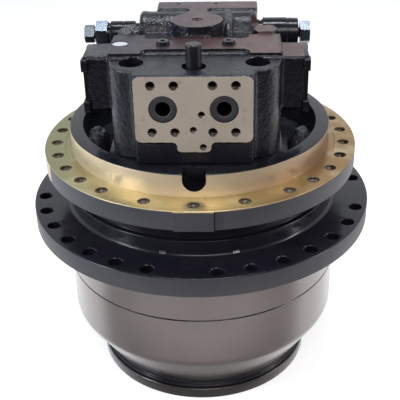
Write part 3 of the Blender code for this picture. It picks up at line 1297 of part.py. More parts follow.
def make_spool():
    """Counterbalance spool: three lands and two waists."""
    half = WING_OUTER_X - SPOOL_END_GAP
    land = SPOOL_BORE_RADIUS - SEAM * 2
    waist = SPOOL_WAIST_RADIUS
    edge = SPOOL_LAND
    profile = [
        (0, -half),
        (land, -half),
        (land, -half + edge),
        (waist, -half + edge),
        (waist, -edge),
        (land, -edge),
        (land, edge),
        (waist, edge),
        (waist, half - edge),
        (land, half - edge),
        (land, half),
        (0, half),
    ]
    spool = turned("counterbalance_spool", profile, SHAFT_FACETS, (1, 0, 0))
    spool.location = (0, SPOOL_Y, SPIGOT_TOP + SPOOL_HEIGHT)
    return spool


def make_casing_bolt(name, spot):
    """Socket head bolt that holds the valve casing on the motor casing."""
    head = SPIGOT_TOP + (COUNTERBORE_FLOOR if spot[1] < 0 else REAR_EAR_HEIGHT) + SEAM
    top = head + CASING_BOLT_HEAD_HEIGHT
    profile = [
        (0, SPIGOT_TOP - CASING_BOLT_THREAD),
        (CASING_BOLT_RADIUS, SPIGOT_TOP - CASING_BOLT_THREAD),
        (CASING_BOLT_RADIUS, head),
        (CASING_BOLT_HEAD_RADIUS, head),
        (CASING_BOLT_HEAD_RADIUS, top),
        (0, top),
    ]
    bolt = turned(name, profile, BOLT_FACETS)
    cut(bolt, prism("socket", circle(8 * MM, 6), top - 8 * MM, top + 5 * MM))
    bolt.location = (*spot, 0)
    return bolt


def build():
    clear_scene()
    root = add_empty("still_parts")
    turning = add_empty("turning_parts")
    carrier_axis = add_empty("carrier_1_axis")
    motor_axis = add_empty("motor_axis")

    cover, plugs = make_cover()
    finish(cover, "drum_grey", turning)
    for plug in plugs:
        finish(plug, "bare_steel", turning)
    finish(make_ring_gear(), "drum_grey", turning)
    finish(make_hub(), "black_paint", turning)
    finish(make_motor_casing(), "gold_zinc", root)
    finish(make_bearing_nut(), "bare_steel", root)

    ring, cord = make_seal("seal_ring_still", "seal_rubber_still", 1)
    finish(ring, "bare_steel", root)
    finish(cord, "black_rubber", root)
    ring, cord = make_seal("seal_ring_turning", "seal_rubber_turning", -1)
    finish(ring, "bare_steel", turning)
    finish(cord, "black_rubber", turning)

    for name, top in (("upper_bearing", UPPER_BEARING_TOP), ("lower_bearing", LOWER_BEARING_TOP)):
        inner, outer, rollers = make_bearing(name, top)
        cage_axis = add_empty(f"{name}_cage_axis")
        finish(inner, "bare_steel", root)
        finish(outer, "bare_steel", turning)
        finish(rollers, "bare_steel", cage_axis)

    finish(make_carrier_2(), "gear_steel", root)
    for letter, place in zip("abc", planet_places()):
        planet = make_planet(
            f"planet_2_{letter}", STAGE_2_PLANET_TEETH, STAGE_2_WIDTH, STAGE_2_PIN_RADIUS,
            place, STAGE_2_CENTRES, PLANET_2_BOTTOM,
        )
        finish(planet, "gear_steel", root)
        pin = make_pin(
            f"planet_2_pin_{letter}", STAGE_2_PIN_RADIUS, PIN_2_BOTTOM, CARRIER_2_TOP, place, STAGE_2_CENTRES
        )
        finish(pin, "bare_steel", root)
    finish(make_sun_2(), "gear_steel", carrier_axis)
    finish(make_carrier_1(), "gear_steel", carrier_axis)
    for letter, place in zip("abc", planet_places()):
        planet = make_planet(
            f"planet_1_{letter}", STAGE_1_PLANET_TEETH, STAGE_1_WIDTH, STAGE_1_PIN_RADIUS,
            place, STAGE_1_CENTRES, PLANET_1_BOTTOM,
        )
        finish(planet, "gear_steel", carrier_axis)
        pin = make_pin(
            f"planet_1_pin_{letter}", STAGE_1_PIN_RADIUS, PIN_1_BOTTOM, CARRIER_1_TOP, place, STAGE_1_CENTRES
        )
        finish(pin, "bare_steel", carrier_axis)

    shaft_bottom = SPINDLE_END + 6 * MM
    finish(make_sun_1(shaft_bottom + SHAFT_SOCKET_DEPTH - 1 * MM), "gear_steel", motor_axis)
    finish(make_motor_shaft(shaft_bottom, CASING_BOTTOM + 10 * MM), "bare_steel", motor_axis)
    finish(make_shaft_bearing(), "bare_steel", root)
    finish(make_swash_plate(), "gear_steel", root)
    finish(make_pistons(), "bronze", motor_axis)
    finish(make_cylinder_block(), "gear_steel", motor_axis)
    finish(make_brake_disc(), "bronze", motor_axis)
    finish(make_valve_plate(), "bronze", root)
    finish(make_brake_piston(), "gear_steel", root)

    finish(make_valve_casing(), "black_paint", root)
    for name, centre in zip(("port_plug_left", "port_plug_right"), port_centres()):
        finish(make_port_plug(name, centre), "black_rubber", root)
    finish(make_drain_plug(), "black_rubber", root)
    finish(make_band_plug("band_plug_left", -BAND_PLUG_X), "black_paint", root)
    finish(make_band_plug("band_plug_right", BAND_PLUG_X), "black_paint", root)
    finish(make_boss_plug(), "black_paint", root)
    finish(make_blank_disc(), "bare_steel", root)
    for word, side in (("left", -1), ("right", 1)):
        finish(make_relief_valve(f"relief_valve_{word}", side), "black_paint", root)
        finish(make_relief_cap(f"relief_cap_{word}", side), "bare_steel", root)
        finish(make_spool_cap(f"spool_cap_{word}", side), "black_paint", root)
        front = (side * COLUMN_X, COLUMN_Y)
        rear = (side * REAR_BOLT_X, REAR_BOLT_Y)
        finish(make_casing_bolt(f"casing_bolt_{word}", front), "bare_steel", root)
        finish(make_casing_bolt(f"casing_bolt_rear_{word}", rear), "bare_steel", root)
    finish(make_spool(), "bare_steel", root)


build()
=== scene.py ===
# %% [markdown]
# # A travel final drive, dressed in Blender
#
# This notebook dresses the solid model of an excavator's travel drive: a hydraulic motor and
# a planetary gearbox in one unit, standing on the gearbox cover. The solid model gives every
# place and size. Here the outside pieces get their fillets, their cast and turned surfaces and
# their paint, and the gears and bearings inside keep their solids and get a finish.

# %% Load the solid model
import math

import bmesh
import bpy
from mathutils import Matrix, Vector, noise


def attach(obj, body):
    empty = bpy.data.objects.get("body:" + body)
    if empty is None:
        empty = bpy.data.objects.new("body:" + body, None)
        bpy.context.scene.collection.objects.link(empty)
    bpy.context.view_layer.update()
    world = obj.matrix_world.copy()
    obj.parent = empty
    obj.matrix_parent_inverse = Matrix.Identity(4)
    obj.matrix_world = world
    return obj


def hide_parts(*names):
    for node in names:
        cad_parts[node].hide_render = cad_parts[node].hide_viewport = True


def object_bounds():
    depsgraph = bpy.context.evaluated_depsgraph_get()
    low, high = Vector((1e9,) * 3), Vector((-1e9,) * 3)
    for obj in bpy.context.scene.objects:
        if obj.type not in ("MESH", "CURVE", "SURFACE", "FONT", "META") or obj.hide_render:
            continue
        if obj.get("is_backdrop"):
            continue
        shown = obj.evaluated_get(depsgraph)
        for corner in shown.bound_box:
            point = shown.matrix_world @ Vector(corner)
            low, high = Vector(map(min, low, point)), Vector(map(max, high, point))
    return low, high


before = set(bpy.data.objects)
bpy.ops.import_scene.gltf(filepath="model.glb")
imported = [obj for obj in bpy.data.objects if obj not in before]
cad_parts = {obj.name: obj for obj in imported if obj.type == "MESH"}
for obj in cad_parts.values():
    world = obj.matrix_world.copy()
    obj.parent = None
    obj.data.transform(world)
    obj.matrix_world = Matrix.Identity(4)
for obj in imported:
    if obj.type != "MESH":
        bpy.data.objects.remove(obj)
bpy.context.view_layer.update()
MM = 0.001

# %% [markdown]
# ## Where the camera stands
# The camera comes first, because everything is judged through it. Its place, tilt and lens were
# worked out from the round flanges: a circle seen from above is an ellipse, and its flatness
# gives the tilt. The object is turned a little so that its ports face the same way as its axes.
# The three camera axes are built as vectors, which leaves no doubt about the order of turns.

# %% Camera
TURN = math.radians(2.6)
PITCH = math.radians(28.99)
YAW = math.radians(-0.09)
ROLL = math.radians(-1.32)
CAMERA_BACK = 1060.6
CAMERA_HEIGHT = 824.3
FOCAL_PIXELS = 838.7
PICTURE_PIXELS = 400
SENSOR_WIDTH = 36


def add_object(name, data):
    """Puts a mesh, a curve, a lamp or a camera in the scene."""
    made = bpy.data.objects.new(name, data)
    bpy.context.scene.collection.objects.link(made)
    return made


look = Vector((math.sin(YAW) * math.cos(PITCH), math.cos(YAW) * math.cos(PITCH), -math.sin(PITCH)))
level_right = look.cross(Vector((0, 0, 1))).normalized()
level_up = level_right.cross(look)
camera_right = level_right * math.cos(ROLL) + level_up * math.sin(ROLL)
camera_up = level_up * math.cos(ROLL) - level_right * math.sin(ROLL)
axes = Matrix((camera_right, camera_up, -look)).transposed().to_4x4()
place = Matrix.Translation((0, -CAMERA_BACK * MM, CAMERA_HEIGHT * MM))

lens = bpy.data.cameras.new("camera")
lens.sensor_width = SENSOR_WIDTH
lens.lens = FOCAL_PIXELS * SENSOR_WIDTH / PICTURE_PIXELS
lens.clip_end = 20
camera = add_object("camera", lens)
camera.matrix_world = Matrix.Rotation(TURN, 4, "Z") @ place @ axes
bpy.context.scene.camera = camera
print("camera at", [round(v, 3) for v in camera.matrix_world.translation])

# %% [markdown]
# ## A small set of tools for materials
# Every finish here is a small network of nodes around one Principled shader. A few helpers keep
# the networks short: they add a node and plug it in, make a noise, stretch a value, mix colours,
# raise a bump and find the edges. All noises read Object coordinates, which are metres on this
# object, so a noise of scale 400 has grains of about 2.5 millimetres wherever the piece is.

# %% Material helpers
def add_node(tree, kind, inputs=None, **settings):
    """Adds a node; an input may be a number, a colour or another node's output."""
    made = tree.nodes.new(kind)
    for key, value in settings.items():
        setattr(made, key, value)
    for key, value in (inputs or {}).items():
        if isinstance(value, bpy.types.NodeSocket):
            tree.links.new(value, made.inputs[key])
        else:
            made.inputs[key].default_value = value
    return made


def start_finish(name, metallic=0.0, roughness=0.5):
    """A new material with its tree, its shader and the place on the object."""
    made = bpy.data.materials.new(name)
    made.use_nodes = True
    tree = made.node_tree
    shader = tree.nodes["Principled BSDF"]
    shader.inputs["Metallic"].default_value = metallic
    shader.inputs["Roughness"].default_value = roughness
    where = add_node(tree, "ShaderNodeTexCoord").outputs["Object"]
    return made, tree, shader, where


def grain(tree, where, scale, detail=4.0, roughness=0.55, stretch=None):
    """A noise value between 0 and 1; stretch squeezes it along the axes, as tool marks are."""
    if stretch:
        where = add_node(tree, "ShaderNodeMapping", {"Vector": where, "Scale": stretch}).outputs[0]
    inputs = {"Vector": where, "Scale": scale, "Detail": detail, "Roughness": roughness}
    return add_node(tree, "ShaderNodeTexNoise", inputs).outputs["Fac"]


def span(tree, value, low, high, to_low=0.0, to_high=1.0):
    """Stretches part of a value's range to new limits and holds it there."""
    inputs = {"Value": value, "From Min": low, "From Max": high, "To Min": to_low, "To Max": to_high}
    return add_node(tree, "ShaderNodeMapRange", inputs).outputs["Result"]


def blend_colour(tree, share, first, second):
    """Mixes two colours; a colour may be another node's output, and so may the share."""
    mix = add_node(tree, "ShaderNodeMix", data_type="RGBA")
    for socket, value in ((mix.inputs["Factor"], share), (mix.inputs["A"], first), (mix.inputs["B"], second)):
        if isinstance(value, bpy.types.NodeSocket):
            tree.links.new(value, socket)
        else:
            socket.default_value = (*value, 1.0) if isinstance(value, tuple) else value
    return next(socket for socket in mix.outputs if socket.type == "RGBA")


def product(tree, first, second):
    return add_node(tree, "ShaderNodeMath", {0: first, 1: second}, operation="MULTIPLY").outputs[0]


def raise_bump(tree, shader, height, distance, strength=1.0, below=None):
    """Adds a bump; below is an earlier bump that this one lies on."""
    inputs = {"Height": height, "Distance": distance, "Strength": strength}
    if below:
        inputs["Normal"] = below
    bump = add_node(tree, "ShaderNodeBump", inputs).outputs["Normal"]
    tree.links.new(bump, shader.inputs["Normal"])
    return bump


def worn_edges(tree, where, radius, amount=0.6):
    """Where an edge is sharp a rounded normal differs from the true one; noise breaks the line up."""
    round_normal = add_node(tree, "ShaderNodeBevel", {"Radius": radius}, samples=6).outputs[0]
    true_normal = add_node(tree, "ShaderNodeNewGeometry").outputs["Normal"]
    dot = add_node(tree, "ShaderNodeVectorMath", {0: round_normal, 1: true_normal}, operation="DOT_PRODUCT")
    sharp = span(tree, dot.outputs["Value"], 0.98, 0.86)
    patches = span(tree, grain(tree, where, 90, 5.0, 0.7), 0.62 - 0.35 * amount, 0.72)
    return product(tree, sharp, patches)


print("material helpers ready")

# %% [markdown]
# ## Light and floor
# A workshop photograph on white paper has soft light from above and from both sides. Gloss paint
# shows nothing of its own: it shows its surroundings. So the world is a studio with bright walls
# behind and beside the unit and a dark room behind the camera. Its mirror image makes the pale
# edges and the deep blacks in the photograph. The left lamp is a little cool and the right one a
# little warm, which is why the real paint looks bluish on one side and brown on the other.

# %% World
scene = bpy.context.scene
scene.view_settings.view_transform = "Standard"
world = bpy.data.worlds.new("studio")
scene.world = world
world.use_nodes = True
sky = world.node_tree

toward = add_node(sky, "ShaderNodeTexCoord").outputs["Generated"]
toward = add_node(sky, "ShaderNodeSeparateXYZ", {"Vector": toward})
walls = span(sky, toward.outputs["Y"], -0.75, 0.15, 0.05, 0.95)
ceiling = span(sky, toward.outputs["Z"], 0.55, 0.85, 1.0, 0.25)
strength = product(sky, walls, ceiling)
studio = add_node(sky, "ShaderNodeBackground", {"Color": (0.92, 0.96, 1.0, 1), "Strength": strength})
white = add_node(sky, "ShaderNodeBackground", {"Color": (1, 1, 1, 1), "Strength": 1.0})
direct = add_node(sky, "ShaderNodeLightPath").outputs["Is Camera Ray"]
choose = add_node(sky, "ShaderNodeMixShader", {0: direct, 1: studio.outputs[0], 2: white.outputs[0]})
sky.links.new(choose.outputs[0], sky.nodes["World Output"].inputs[0])
print("world nodes:", len(sky.nodes))

# %% Lamps
UNIT_MIDDLE = (0, 0, 0.3)


def add_lamp(name, spot, width, height, power, colour):
    """A rectangular softbox that looks at the middle of the unit."""
    data = bpy.data.lights.new(name, "AREA")
    data.shape = "RECTANGLE"
    data.size = width
    data.size_y = height
    data.energy = power
    data.color = colour
    lamp = add_object(name, data)
    lamp.location = spot
    lamp.rotation_euler = (Vector(UNIT_MIDDLE) - Vector(spot)).to_track_quat("-Z", "Y").to_euler()


add_lamp("softbox_above", (0.0, 0.15, 2.0), 0.9, 0.22, 14, (0.92, 0.96, 1.0))
add_lamp("softbox_left", (-1.6, -0.9, 1.0), 0.2, 1.2, 19, (0.86, 0.93, 1.0))
add_lamp("softbox_right", (1.8, -0.3, 1.0), 0.2, 1.2, 11, (1.0, 0.94, 0.90))
add_lamp("softbox_front", (0.2, -1.9, 2.1), 1.6, 0.9, 25, (1.0, 0.98, 0.96))

# %% [markdown]
# The floor is white paper. Seen directly it is plain white and glows a little, which takes nothing
# from the shadow under the unit. Its mirror image in the paint is another matter: there the paper
# is dimmer just in front of the unit and ends in a dark room further out, and the paint's front
# faces show that dark. Only the world and the floor tell one kind of ray from another, and no
# finish of the unit does.

# %% Floor
FLOOR_HALF = 6
FLOOR_DROP = 0.0004


def make_paper():
    made, tree, shader, where = start_finish("white_paper", 0.0, 0.9)
    shader.inputs["Specular IOR Level"].default_value = 0.1
    along = add_node(tree, "ShaderNodeSeparateXYZ", {"Vector": where}).outputs["Y"]
    near_paper = span(tree, along, -0.19, -0.10, 0.0, 1.0)
    fall_off = span(tree, along, -0.75, -0.38, 0.08, 0.72)
    far_paper = product(tree, fall_off, span(tree, along, -0.36, -0.24, 1.0, 0.55))
    paper = add_node(tree, "ShaderNodeMath", {0: near_paper, 1: far_paper}, operation="MAXIMUM").outputs[0]
    rays = add_node(tree, "ShaderNodeLightPath")
    direct = rays.outputs["Is Camera Ray"]
    shown = add_node(tree, "ShaderNodeMath", {0: direct, 1: paper}, operation="MAXIMUM").outputs[0]
    colour = blend_colour(tree, shown, (0.02, 0.02, 0.02), (0.82, 0.82, 0.82))
    tree.links.new(colour, shader.inputs["Base Color"])
    mirrored = product(tree, product(tree, rays.outputs["Is Glossy Ray"], 0.8), paper)
    seen = add_node(tree, "ShaderNodeMath", {0: direct, 1: mirrored}, operation="MAXIMUM")
    shader.inputs["Emission Color"].default_value = (1, 1, 1, 1)
    tree.links.new(product(tree, seen.outputs[0], 0.5), shader.inputs["Emission Strength"])
    return made


floor_mesh = bpy.data.meshes.new("floor")
floor_corners = [(x * FLOOR_HALF, y * FLOOR_HALF, 0) for x, y in ((-1, -1), (1, -1), (1, 1), (-1, 1))]
floor_mesh.from_pydata(floor_corners, [], [(0, 1, 2, 3)])
floor_mesh.materials.append(make_paper())
floor = add_object("floor", floor_mesh)
floor.location.z = -FLOOR_DROP
floor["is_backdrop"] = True
print("floor finish:", floor_mesh.materials[0].name)

# %% [markdown]
# ## Black paint on castings
# Sprayed gloss paint on a sand casting is not even: the casting's grain shows through and the
# paint itself has an orange-peel skin. Two noises of different size make the bump, a third one
# varies the gloss, and the edges are worn to a brownish grey where tools and slings touched them.
# Four kinds follow, for the castings, the turned fittings, the pockets and the rough boss, and a
# plain black for bores that no light reaches.

# %% Gloss black paint
def make_cast_paint(name, dark, light, grain_height, gloss=0.32):
    made, tree, shader, where = start_finish(name)
    shader.inputs["Specular IOR Level"].default_value = gloss
    cloud = grain(tree, where, 22, 3.0)
    worn = worn_edges(tree, where, 0.0012, 0.45)
    colour = blend_colour(tree, span(tree, cloud, 0.35, 0.7), dark, light)
    colour = blend_colour(tree, worn, colour, (0.16, 0.14, 0.13))
    tree.links.new(colour, shader.inputs["Base Color"])
    tree.links.new(span(tree, grain(tree, where, 60, 4.0), 0.3, 0.75, 0.12, 0.30), shader.inputs["Roughness"])
    coarse = raise_bump(tree, shader, grain(tree, where, 210, 2.0, 0.5), grain_height * 0.38, 0.9)
    raise_bump(tree, shader, grain(tree, where, 420, 3.0, 0.6), grain_height * 0.35, 0.8, coarse)
    return made


cast_paint = make_cast_paint("cast_black_paint", (0.006, 0.006, 0.011), (0.013, 0.013, 0.021), 0.0018, 0.45)
smooth_paint = make_cast_paint("smooth_black_paint", (0.006, 0.006, 0.010), (0.012, 0.012, 0.019), 0.00022)
pocket_paint = make_cast_paint("pocket_black_paint", (0.020, 0.021, 0.028), (0.060, 0.062, 0.078), 0.0018)
boss_paint = make_cast_paint("rough_boss_paint", (0.020, 0.021, 0.028), (0.110, 0.115, 0.135), 0.0030, 0.6)
# Painted shade: a near-black that hardly mirrors, for the dust plugs' deep bores.
painted_shade_black, _, bore_shader, _ = start_finish("painted_bore_shade", 0.0, 0.95)
bore_shader.inputs["Base Color"].default_value = (0.002, 0.002, 0.002, 1)
bore_shader.inputs["Specular IOR Level"].default_value = 0.05
print("black paints:", cast_paint.name, smooth_paint.name, pocket_paint.name, boss_paint.name)

# %% [markdown]
# ## Paint on machined faces
# Where the casting was milled flat, the paint lies smooth and shows broad colour: bluish towards
# the left and plum brown towards the right. This colour is a painted reflection of the cool and
# warm lamps, laid into the paint. A gradient along the object's own X axis does this, so the
# colour stays on the object from every side.

# %% Paint on the milled faces
def make_milled_paint():
    made, tree, shader, where = start_finish("milled_paint_with_painted_sheen")
    shader.inputs["Specular IOR Level"].default_value = 0.32
    across = add_node(tree, "ShaderNodeSeparateXYZ", {"Vector": where}).outputs["X"]
    # Painted reflection: a dark bluish sheen on the left and a lighter plum-brown sheen on the right.
    share = span(tree, across, -0.11, 0.06)
    colour = blend_colour(tree, share, (0.010, 0.012, 0.024), (0.105, 0.058, 0.055))
    stains = span(tree, grain(tree, where, 35, 4.0), 0.45, 0.8)
    colour = blend_colour(tree, stains, colour, (0.050, 0.036, 0.044))
    colour = blend_colour(tree, worn_edges(tree, where, 0.0010, 0.7), colour, (0.30, 0.25, 0.23))
    tree.links.new(colour, shader.inputs["Base Color"])
    tree.links.new(span(tree, grain(tree, where, 80, 3.0), 0.3, 0.7, 0.30, 0.42), shader.inputs["Roughness"])
    raise_bump(tree, shader, grain(tree, where, 500, 2.0), 0.00012, 0.6)
    return made


milled_paint = make_milled_paint()
print("milled paint:", milled_paint.name)

# %% [markdown]
# ## Bare metal of the port face
# The port face is left bare for its hoses and only greased. Milled iron is a warm grey with faint
# straight tool marks, so the noise is stretched along X, and small stains sit where oil dried.
# The same network makes the other bare metals, each with a pale, a warm and a stain colour.

# %% Bare port face and bare steel
def make_bare_iron(name, pale, warm, stain, stretch, roughness, metallic):
    made, tree, shader, where = start_finish(name, metallic)
    marks = grain(tree, where, 1.0, 3.0, 0.6, stretch)
    colour = blend_colour(tree, span(tree, grain(tree, where, 26, 4.0), 0.3, 0.7), pale, warm)
    colour = blend_colour(tree, span(tree, grain(tree, where, 70, 6.0, 0.7), 0.58, 0.75), colour, stain)
    colour = blend_colour(tree, worn_edges(tree, where, 0.0008, 0.9), colour, (0.80, 0.78, 0.74))
    tree.links.new(colour, shader.inputs["Base Color"])
    tree.links.new(span(tree, marks, 0.3, 0.7, *roughness), shader.inputs["Roughness"])
    raise_bump(tree, shader, marks, 0.00012, 0.6)
    return made


bare_metals = {
    "bare_port_face": (
        (0.68, 0.575, 0.48), (0.59, 0.50, 0.43), (0.40, 0.32, 0.27), (60, 900, 2600), (0.34, 0.46), 0.35
    ),
    "bare_steel": (
        (0.56, 0.55, 0.54), (0.47, 0.46, 0.45), (0.25, 0.22, 0.20), (900, 900, 900), (0.22, 0.36), 1.0
    ),
    "polished_disc": (
        (0.86, 0.88, 0.92), (0.78, 0.80, 0.85), (0.45, 0.42, 0.40), (500, 500, 500), (0.16, 0.28), 0.9
    ),
    "blackened_steel": (
        (0.17, 0.20, 0.24), (0.12, 0.14, 0.17), (0.05, 0.045, 0.04), (900, 900, 900), (0.20, 0.32), 1.0
    ),
    # Tapped holes: an oily brown thread steel, made darker as painted shade inside the holes.
    "tapped_hole_steel_and_shade": (
        (0.13, 0.085, 0.05), (0.08, 0.055, 0.035), (0.03, 0.02, 0.015), (400, 400, 2600), (0.35, 0.5), 0.9
    ),
    "hardened_gear_steel": (
        (0.36, 0.37, 0.39), (0.30, 0.31, 0.32), (0.20, 0.17, 0.14), (700, 700, 300), (0.26, 0.42), 1.0
    ),
}
metals = [make_bare_iron(name, *values) for name, values in bare_metals.items()]
port_iron, bare_steel, polished_steel, dark_steel, hole_steel, gear_steel = metals
print("bare metals:", [metal.name for metal in metals])

# %% [markdown]
# ## Yellow zinc on the frame flange
# The flange that bolts to the track frame is turned and then plated or washed with a yellow
# coating. It shines like brass with a greenish side and a warm side, has fine rings from the
# lathe and brown stains in its corner. The tints are the coating's, but the darker sides and the
# bright middle across X are painted shade and a painted highlight. Rings come from a wave texture
# around Z. The anisotropic setting of the shader pulls the highlights across the rings, as on any
# turned face.

# %% Yellow zinc
def make_zinc(name, cool, lit_middle_tone, warm, stain, roughness, metallic=0.75):
    made, tree, shader, where = start_finish(name, metallic)
    across = add_node(tree, "ShaderNodeSeparateXYZ", {"Vector": where}).outputs["X"]
    # Across X: painted shade at the darker greenish left and warm right, and a painted highlight in the bright
    # middle, over the coating's own tints.
    colour = blend_colour(tree, span(tree, across, -0.19, -0.08), cool, lit_middle_tone)
    colour = blend_colour(tree, span(tree, across, 0.02, 0.16), colour, warm)
    cloud = grain(tree, where, 16, 5.0, 0.6)
    colour = blend_colour(tree, span(tree, cloud, 0.5, 0.78), colour, (0.66, 0.58, 0.38))
    spots = span(tree, grain(tree, where, 42, 6.0, 0.72), 0.64, 0.80)
    colour = blend_colour(tree, spots, colour, stain)
    tree.links.new(colour, shader.inputs["Base Color"])
    wave = {"Vector": where, "Scale": 140.0, "Distortion": 0.6, "Detail": 2.0}
    rings = add_node(tree, "ShaderNodeTexWave", wave, wave_type="RINGS", rings_direction="Z").outputs["Fac"]
    tree.links.new(span(tree, cloud, 0.3, 0.7, roughness, roughness + 0.12), shader.inputs["Roughness"])
    shader.inputs["Anisotropic"].default_value = 0.55
    around = add_node(tree, "ShaderNodeTangent", direction_type="RADIAL", axis="Z").outputs[0]
    tree.links.new(around, shader.inputs["Tangent"])
    raise_bump(tree, shader, rings, 0.00003, 0.5)
    return made


flange_zinc = make_zinc(
    "yellow_zinc_face_painted_light", (0.26, 0.25, 0.13), (0.50, 0.40, 0.20), (0.33, 0.20, 0.085), (0.34, 0.21, 0.09), 0.26
)
spigot_zinc = make_zinc(
    "zinc_side_painted_light", (0.64, 0.55, 0.38), (0.94, 0.76, 0.54), (0.29, 0.19, 0.12), (0.34, 0.22, 0.12), 0.30, 0.5
)
print("zinc finishes:", flange_zinc.name, spigot_zinc.name)

# %% [markdown]
# ## Turned grey drum
# The gearbox drum is turned steel with a thin clear coat over a brownish oxide. It is satin, with
# wide soft bands of light, so the noise is stretched around the axis into faint rings.

# %% Turned drum and dark flange side
def make_turned(name, low, high, metallic, roughness, ring_depth, worn=(0.46, 0.43, 0.41), coat=0.0):
    made, tree, shader, where = start_finish(name, metallic)
    shader.inputs["Specular IOR Level"].default_value = 0.32
    rings = grain(tree, where, 1.0, 3.0, 0.6, (6, 6, 1500))
    cloud = grain(tree, where, 14, 4.0, 0.6)
    colour = blend_colour(tree, span(tree, cloud, 0.3, 0.75), low, high)
    colour = blend_colour(tree, span(tree, rings, 0.62, 0.85, 0.0, 0.35), colour, tuple(v * 0.55 for v in low))
    colour = blend_colour(tree, worn_edges(tree, where, 0.0010, 0.6), colour, worn)
    tree.links.new(colour, shader.inputs["Base Color"])
    tree.links.new(span(tree, cloud, 0.3, 0.7, *roughness), shader.inputs["Roughness"])
    shader.inputs["Anisotropic"].default_value = 0.4
    shader.inputs["Coat Weight"].default_value = coat
    shader.inputs["Coat Roughness"].default_value = 0.2
    around = add_node(tree, "ShaderNodeTangent", direction_type="RADIAL", axis="Z").outputs[0]
    tree.links.new(around, shader.inputs["Tangent"])
    raise_bump(tree, shader, rings, ring_depth, 0.5)
    return made


drum_satin = make_turned(
    "turned_drum", (0.200, 0.162, 0.155), (0.240, 0.198, 0.190), 0.85, (0.28, 0.36), 0.00005, coat=1.0
)
cover_satin = make_turned(
    "turned_cover", (0.052, 0.043, 0.046), (0.072, 0.060, 0.063), 0.85, (0.30, 0.40), 0.00005, coat=1.0
)
flange_grey = make_turned(
    "dark_flange_side", (0.074, 0.072, 0.086), (0.095, 0.092, 0.106), 0.1, (0.34, 0.46), 0.00004,
    worn=(0.12, 0.115, 0.12),
)
hub_black = make_turned(
    "turned_black_paint", (0.009, 0.009, 0.015), (0.016, 0.015, 0.023), 0.0, (0.14, 0.26), 0.00003,
    worn=(0.20, 0.19, 0.20),
)
print("turned finishes:", drum_satin.name, cover_satin.name, flange_grey.name, hub_black.name)

# %% [markdown]
# ## Rubber and bronze
# The dust plugs are soft black rubber with a dry bloom. The pistons' slippers, the valve plate and
# the brake disc inside are bronze. Both are simple, with one noise for colour and one for bump.

# %% Rubber and bronze
def make_plain(name, low, high, metallic, roughness, scale, depth):
    made, tree, shader, where = start_finish(name, metallic, roughness)
    cloud = grain(tree, where, scale, 5.0, 0.65)
    tree.links.new(blend_colour(tree, span(tree, cloud, 0.3, 0.75), low, high), shader.inputs["Base Color"])
    tree.links.new(span(tree, cloud, 0.3, 0.7, roughness - 0.06, roughness + 0.08), shader.inputs["Roughness"])
    raise_bump(tree, shader, grain(tree, where, scale * 9, 3.0), depth, 0.7)
    return made


plug_rubber = make_plain("plug_rubber", (0.030, 0.028, 0.034), (0.050, 0.047, 0.054), 0.0, 0.55, 60, 0.0001)
plug_plastic = make_plain("plug_plastic", (0.008, 0.008, 0.011), (0.014, 0.014, 0.018), 0.0, 0.30, 40, 0.00006)
seal_rubber = make_plain("seal_rubber", (0.012, 0.012, 0.012), (0.025, 0.024, 0.023), 0.0, 0.62, 60, 0.0001)
bearing_bronze = make_plain("bearing_bronze", (0.50, 0.33, 0.14), (0.60, 0.43, 0.21), 1.0, 0.34, 50, 0.00006)
print("soft and bronze finishes ready")

# %% [markdown]
# ## Shapes: turning and extruding
# Nearly everything here was made on a lathe or is a thick plate. `turn` spins an outline of
# radius and height into a ring of quads, and `plate` extrudes an outline. Outlines are written in
# millimetres, as on a drawing, and a third number on a corner is its fillet radius.

# %% Outlines
def round_corners(outline, steps=4):
    """Replaces each corner that has a third number by an arc of that radius."""
    points = []
    count = len(outline)
    for index, corner in enumerate(outline):
        here = Vector(corner[:2])
        if len(corner) == 2:
            points.append(here)
            continue
        before = Vector(outline[index - 1][:2]) - here
        after = Vector(outline[(index + 1) % count][:2]) - here
        half = before.angle(after) / 2
        reach = min(corner[2] / math.tan(half), before.length * 0.49, after.length * 0.49)
        radius = reach * math.tan(half)
        centre = here + (before.normalized() + after.normalized()).normalized() * radius / math.sin(half)
        start = here + before.normalized() * reach - centre
        end = here + after.normalized() * reach - centre
        sweep = start.angle(end)
        for k in range(steps + 1):
            share = k / steps
            spoke = start * math.sin((1 - share) * sweep) + end * math.sin(share * sweep)
            points.append(centre + spoke / math.sin(sweep))
    return [(p[0], p[1]) for p in points]


def arc_points(centre, radius, start, end, steps=10):
    """Points on an arc from one angle to another, in degrees."""
    angles = [math.radians(start + (end - start) * k / steps) for k in range(steps + 1)]
    return [(centre[0] + radius * math.cos(a), centre[1] + radius * math.sin(a)) for a in angles]


def ring_of_points(radius, count, centre=(0.0, 0.0), start=0.0):
    """The corners of a regular polygon; with many of them it serves as a circle."""
    angles = [start + math.tau * k / count for k in range(count)]
    return [(centre[0] + radius * math.cos(a), centre[1] + radius * math.sin(a)) for a in angles]


def box_outline(left, right, front, rear, fillet=None):
    corners = [(left, front), (right, front), (right, rear), (left, rear)]
    return [(*c, fillet) for c in corners] if fillet else corners


def pin_outline(radius, low, high):
    """Half the section of a plain pin, to be turned."""
    return [(0, low), (radius, low), (radius, high), (0, high)]


def mirror_outline(right):
    """Completes an outline whose right half is given from front to rear."""
    return right + [(-x, y) for x, y in reversed(right)]


print("outline helpers ready; a rounded square has", len(round_corners(box_outline(0, 1, 0, 1, 0.2))), "points")

# %% Solids
def solid(name, corners, faces, finish=None):
    """A mesh object from points and faces, in metres, with its normals outwards."""
    mesh = bpy.data.meshes.new(name)
    mesh.from_pydata(corners, [], faces)
    shape = bmesh.new()
    shape.from_mesh(mesh)
    bmesh.ops.remove_doubles(shape, verts=shape.verts, dist=1e-6)
    bmesh.ops.recalc_face_normals(shape, faces=shape.faces)
    if shape.calc_volume(signed=True) < 0:
        bmesh.ops.reverse_faces(shape, faces=shape.faces)
    shape.to_mesh(mesh)
    shape.free()
    if finish:
        mesh.materials.append(finish)
    return add_object(name, mesh)


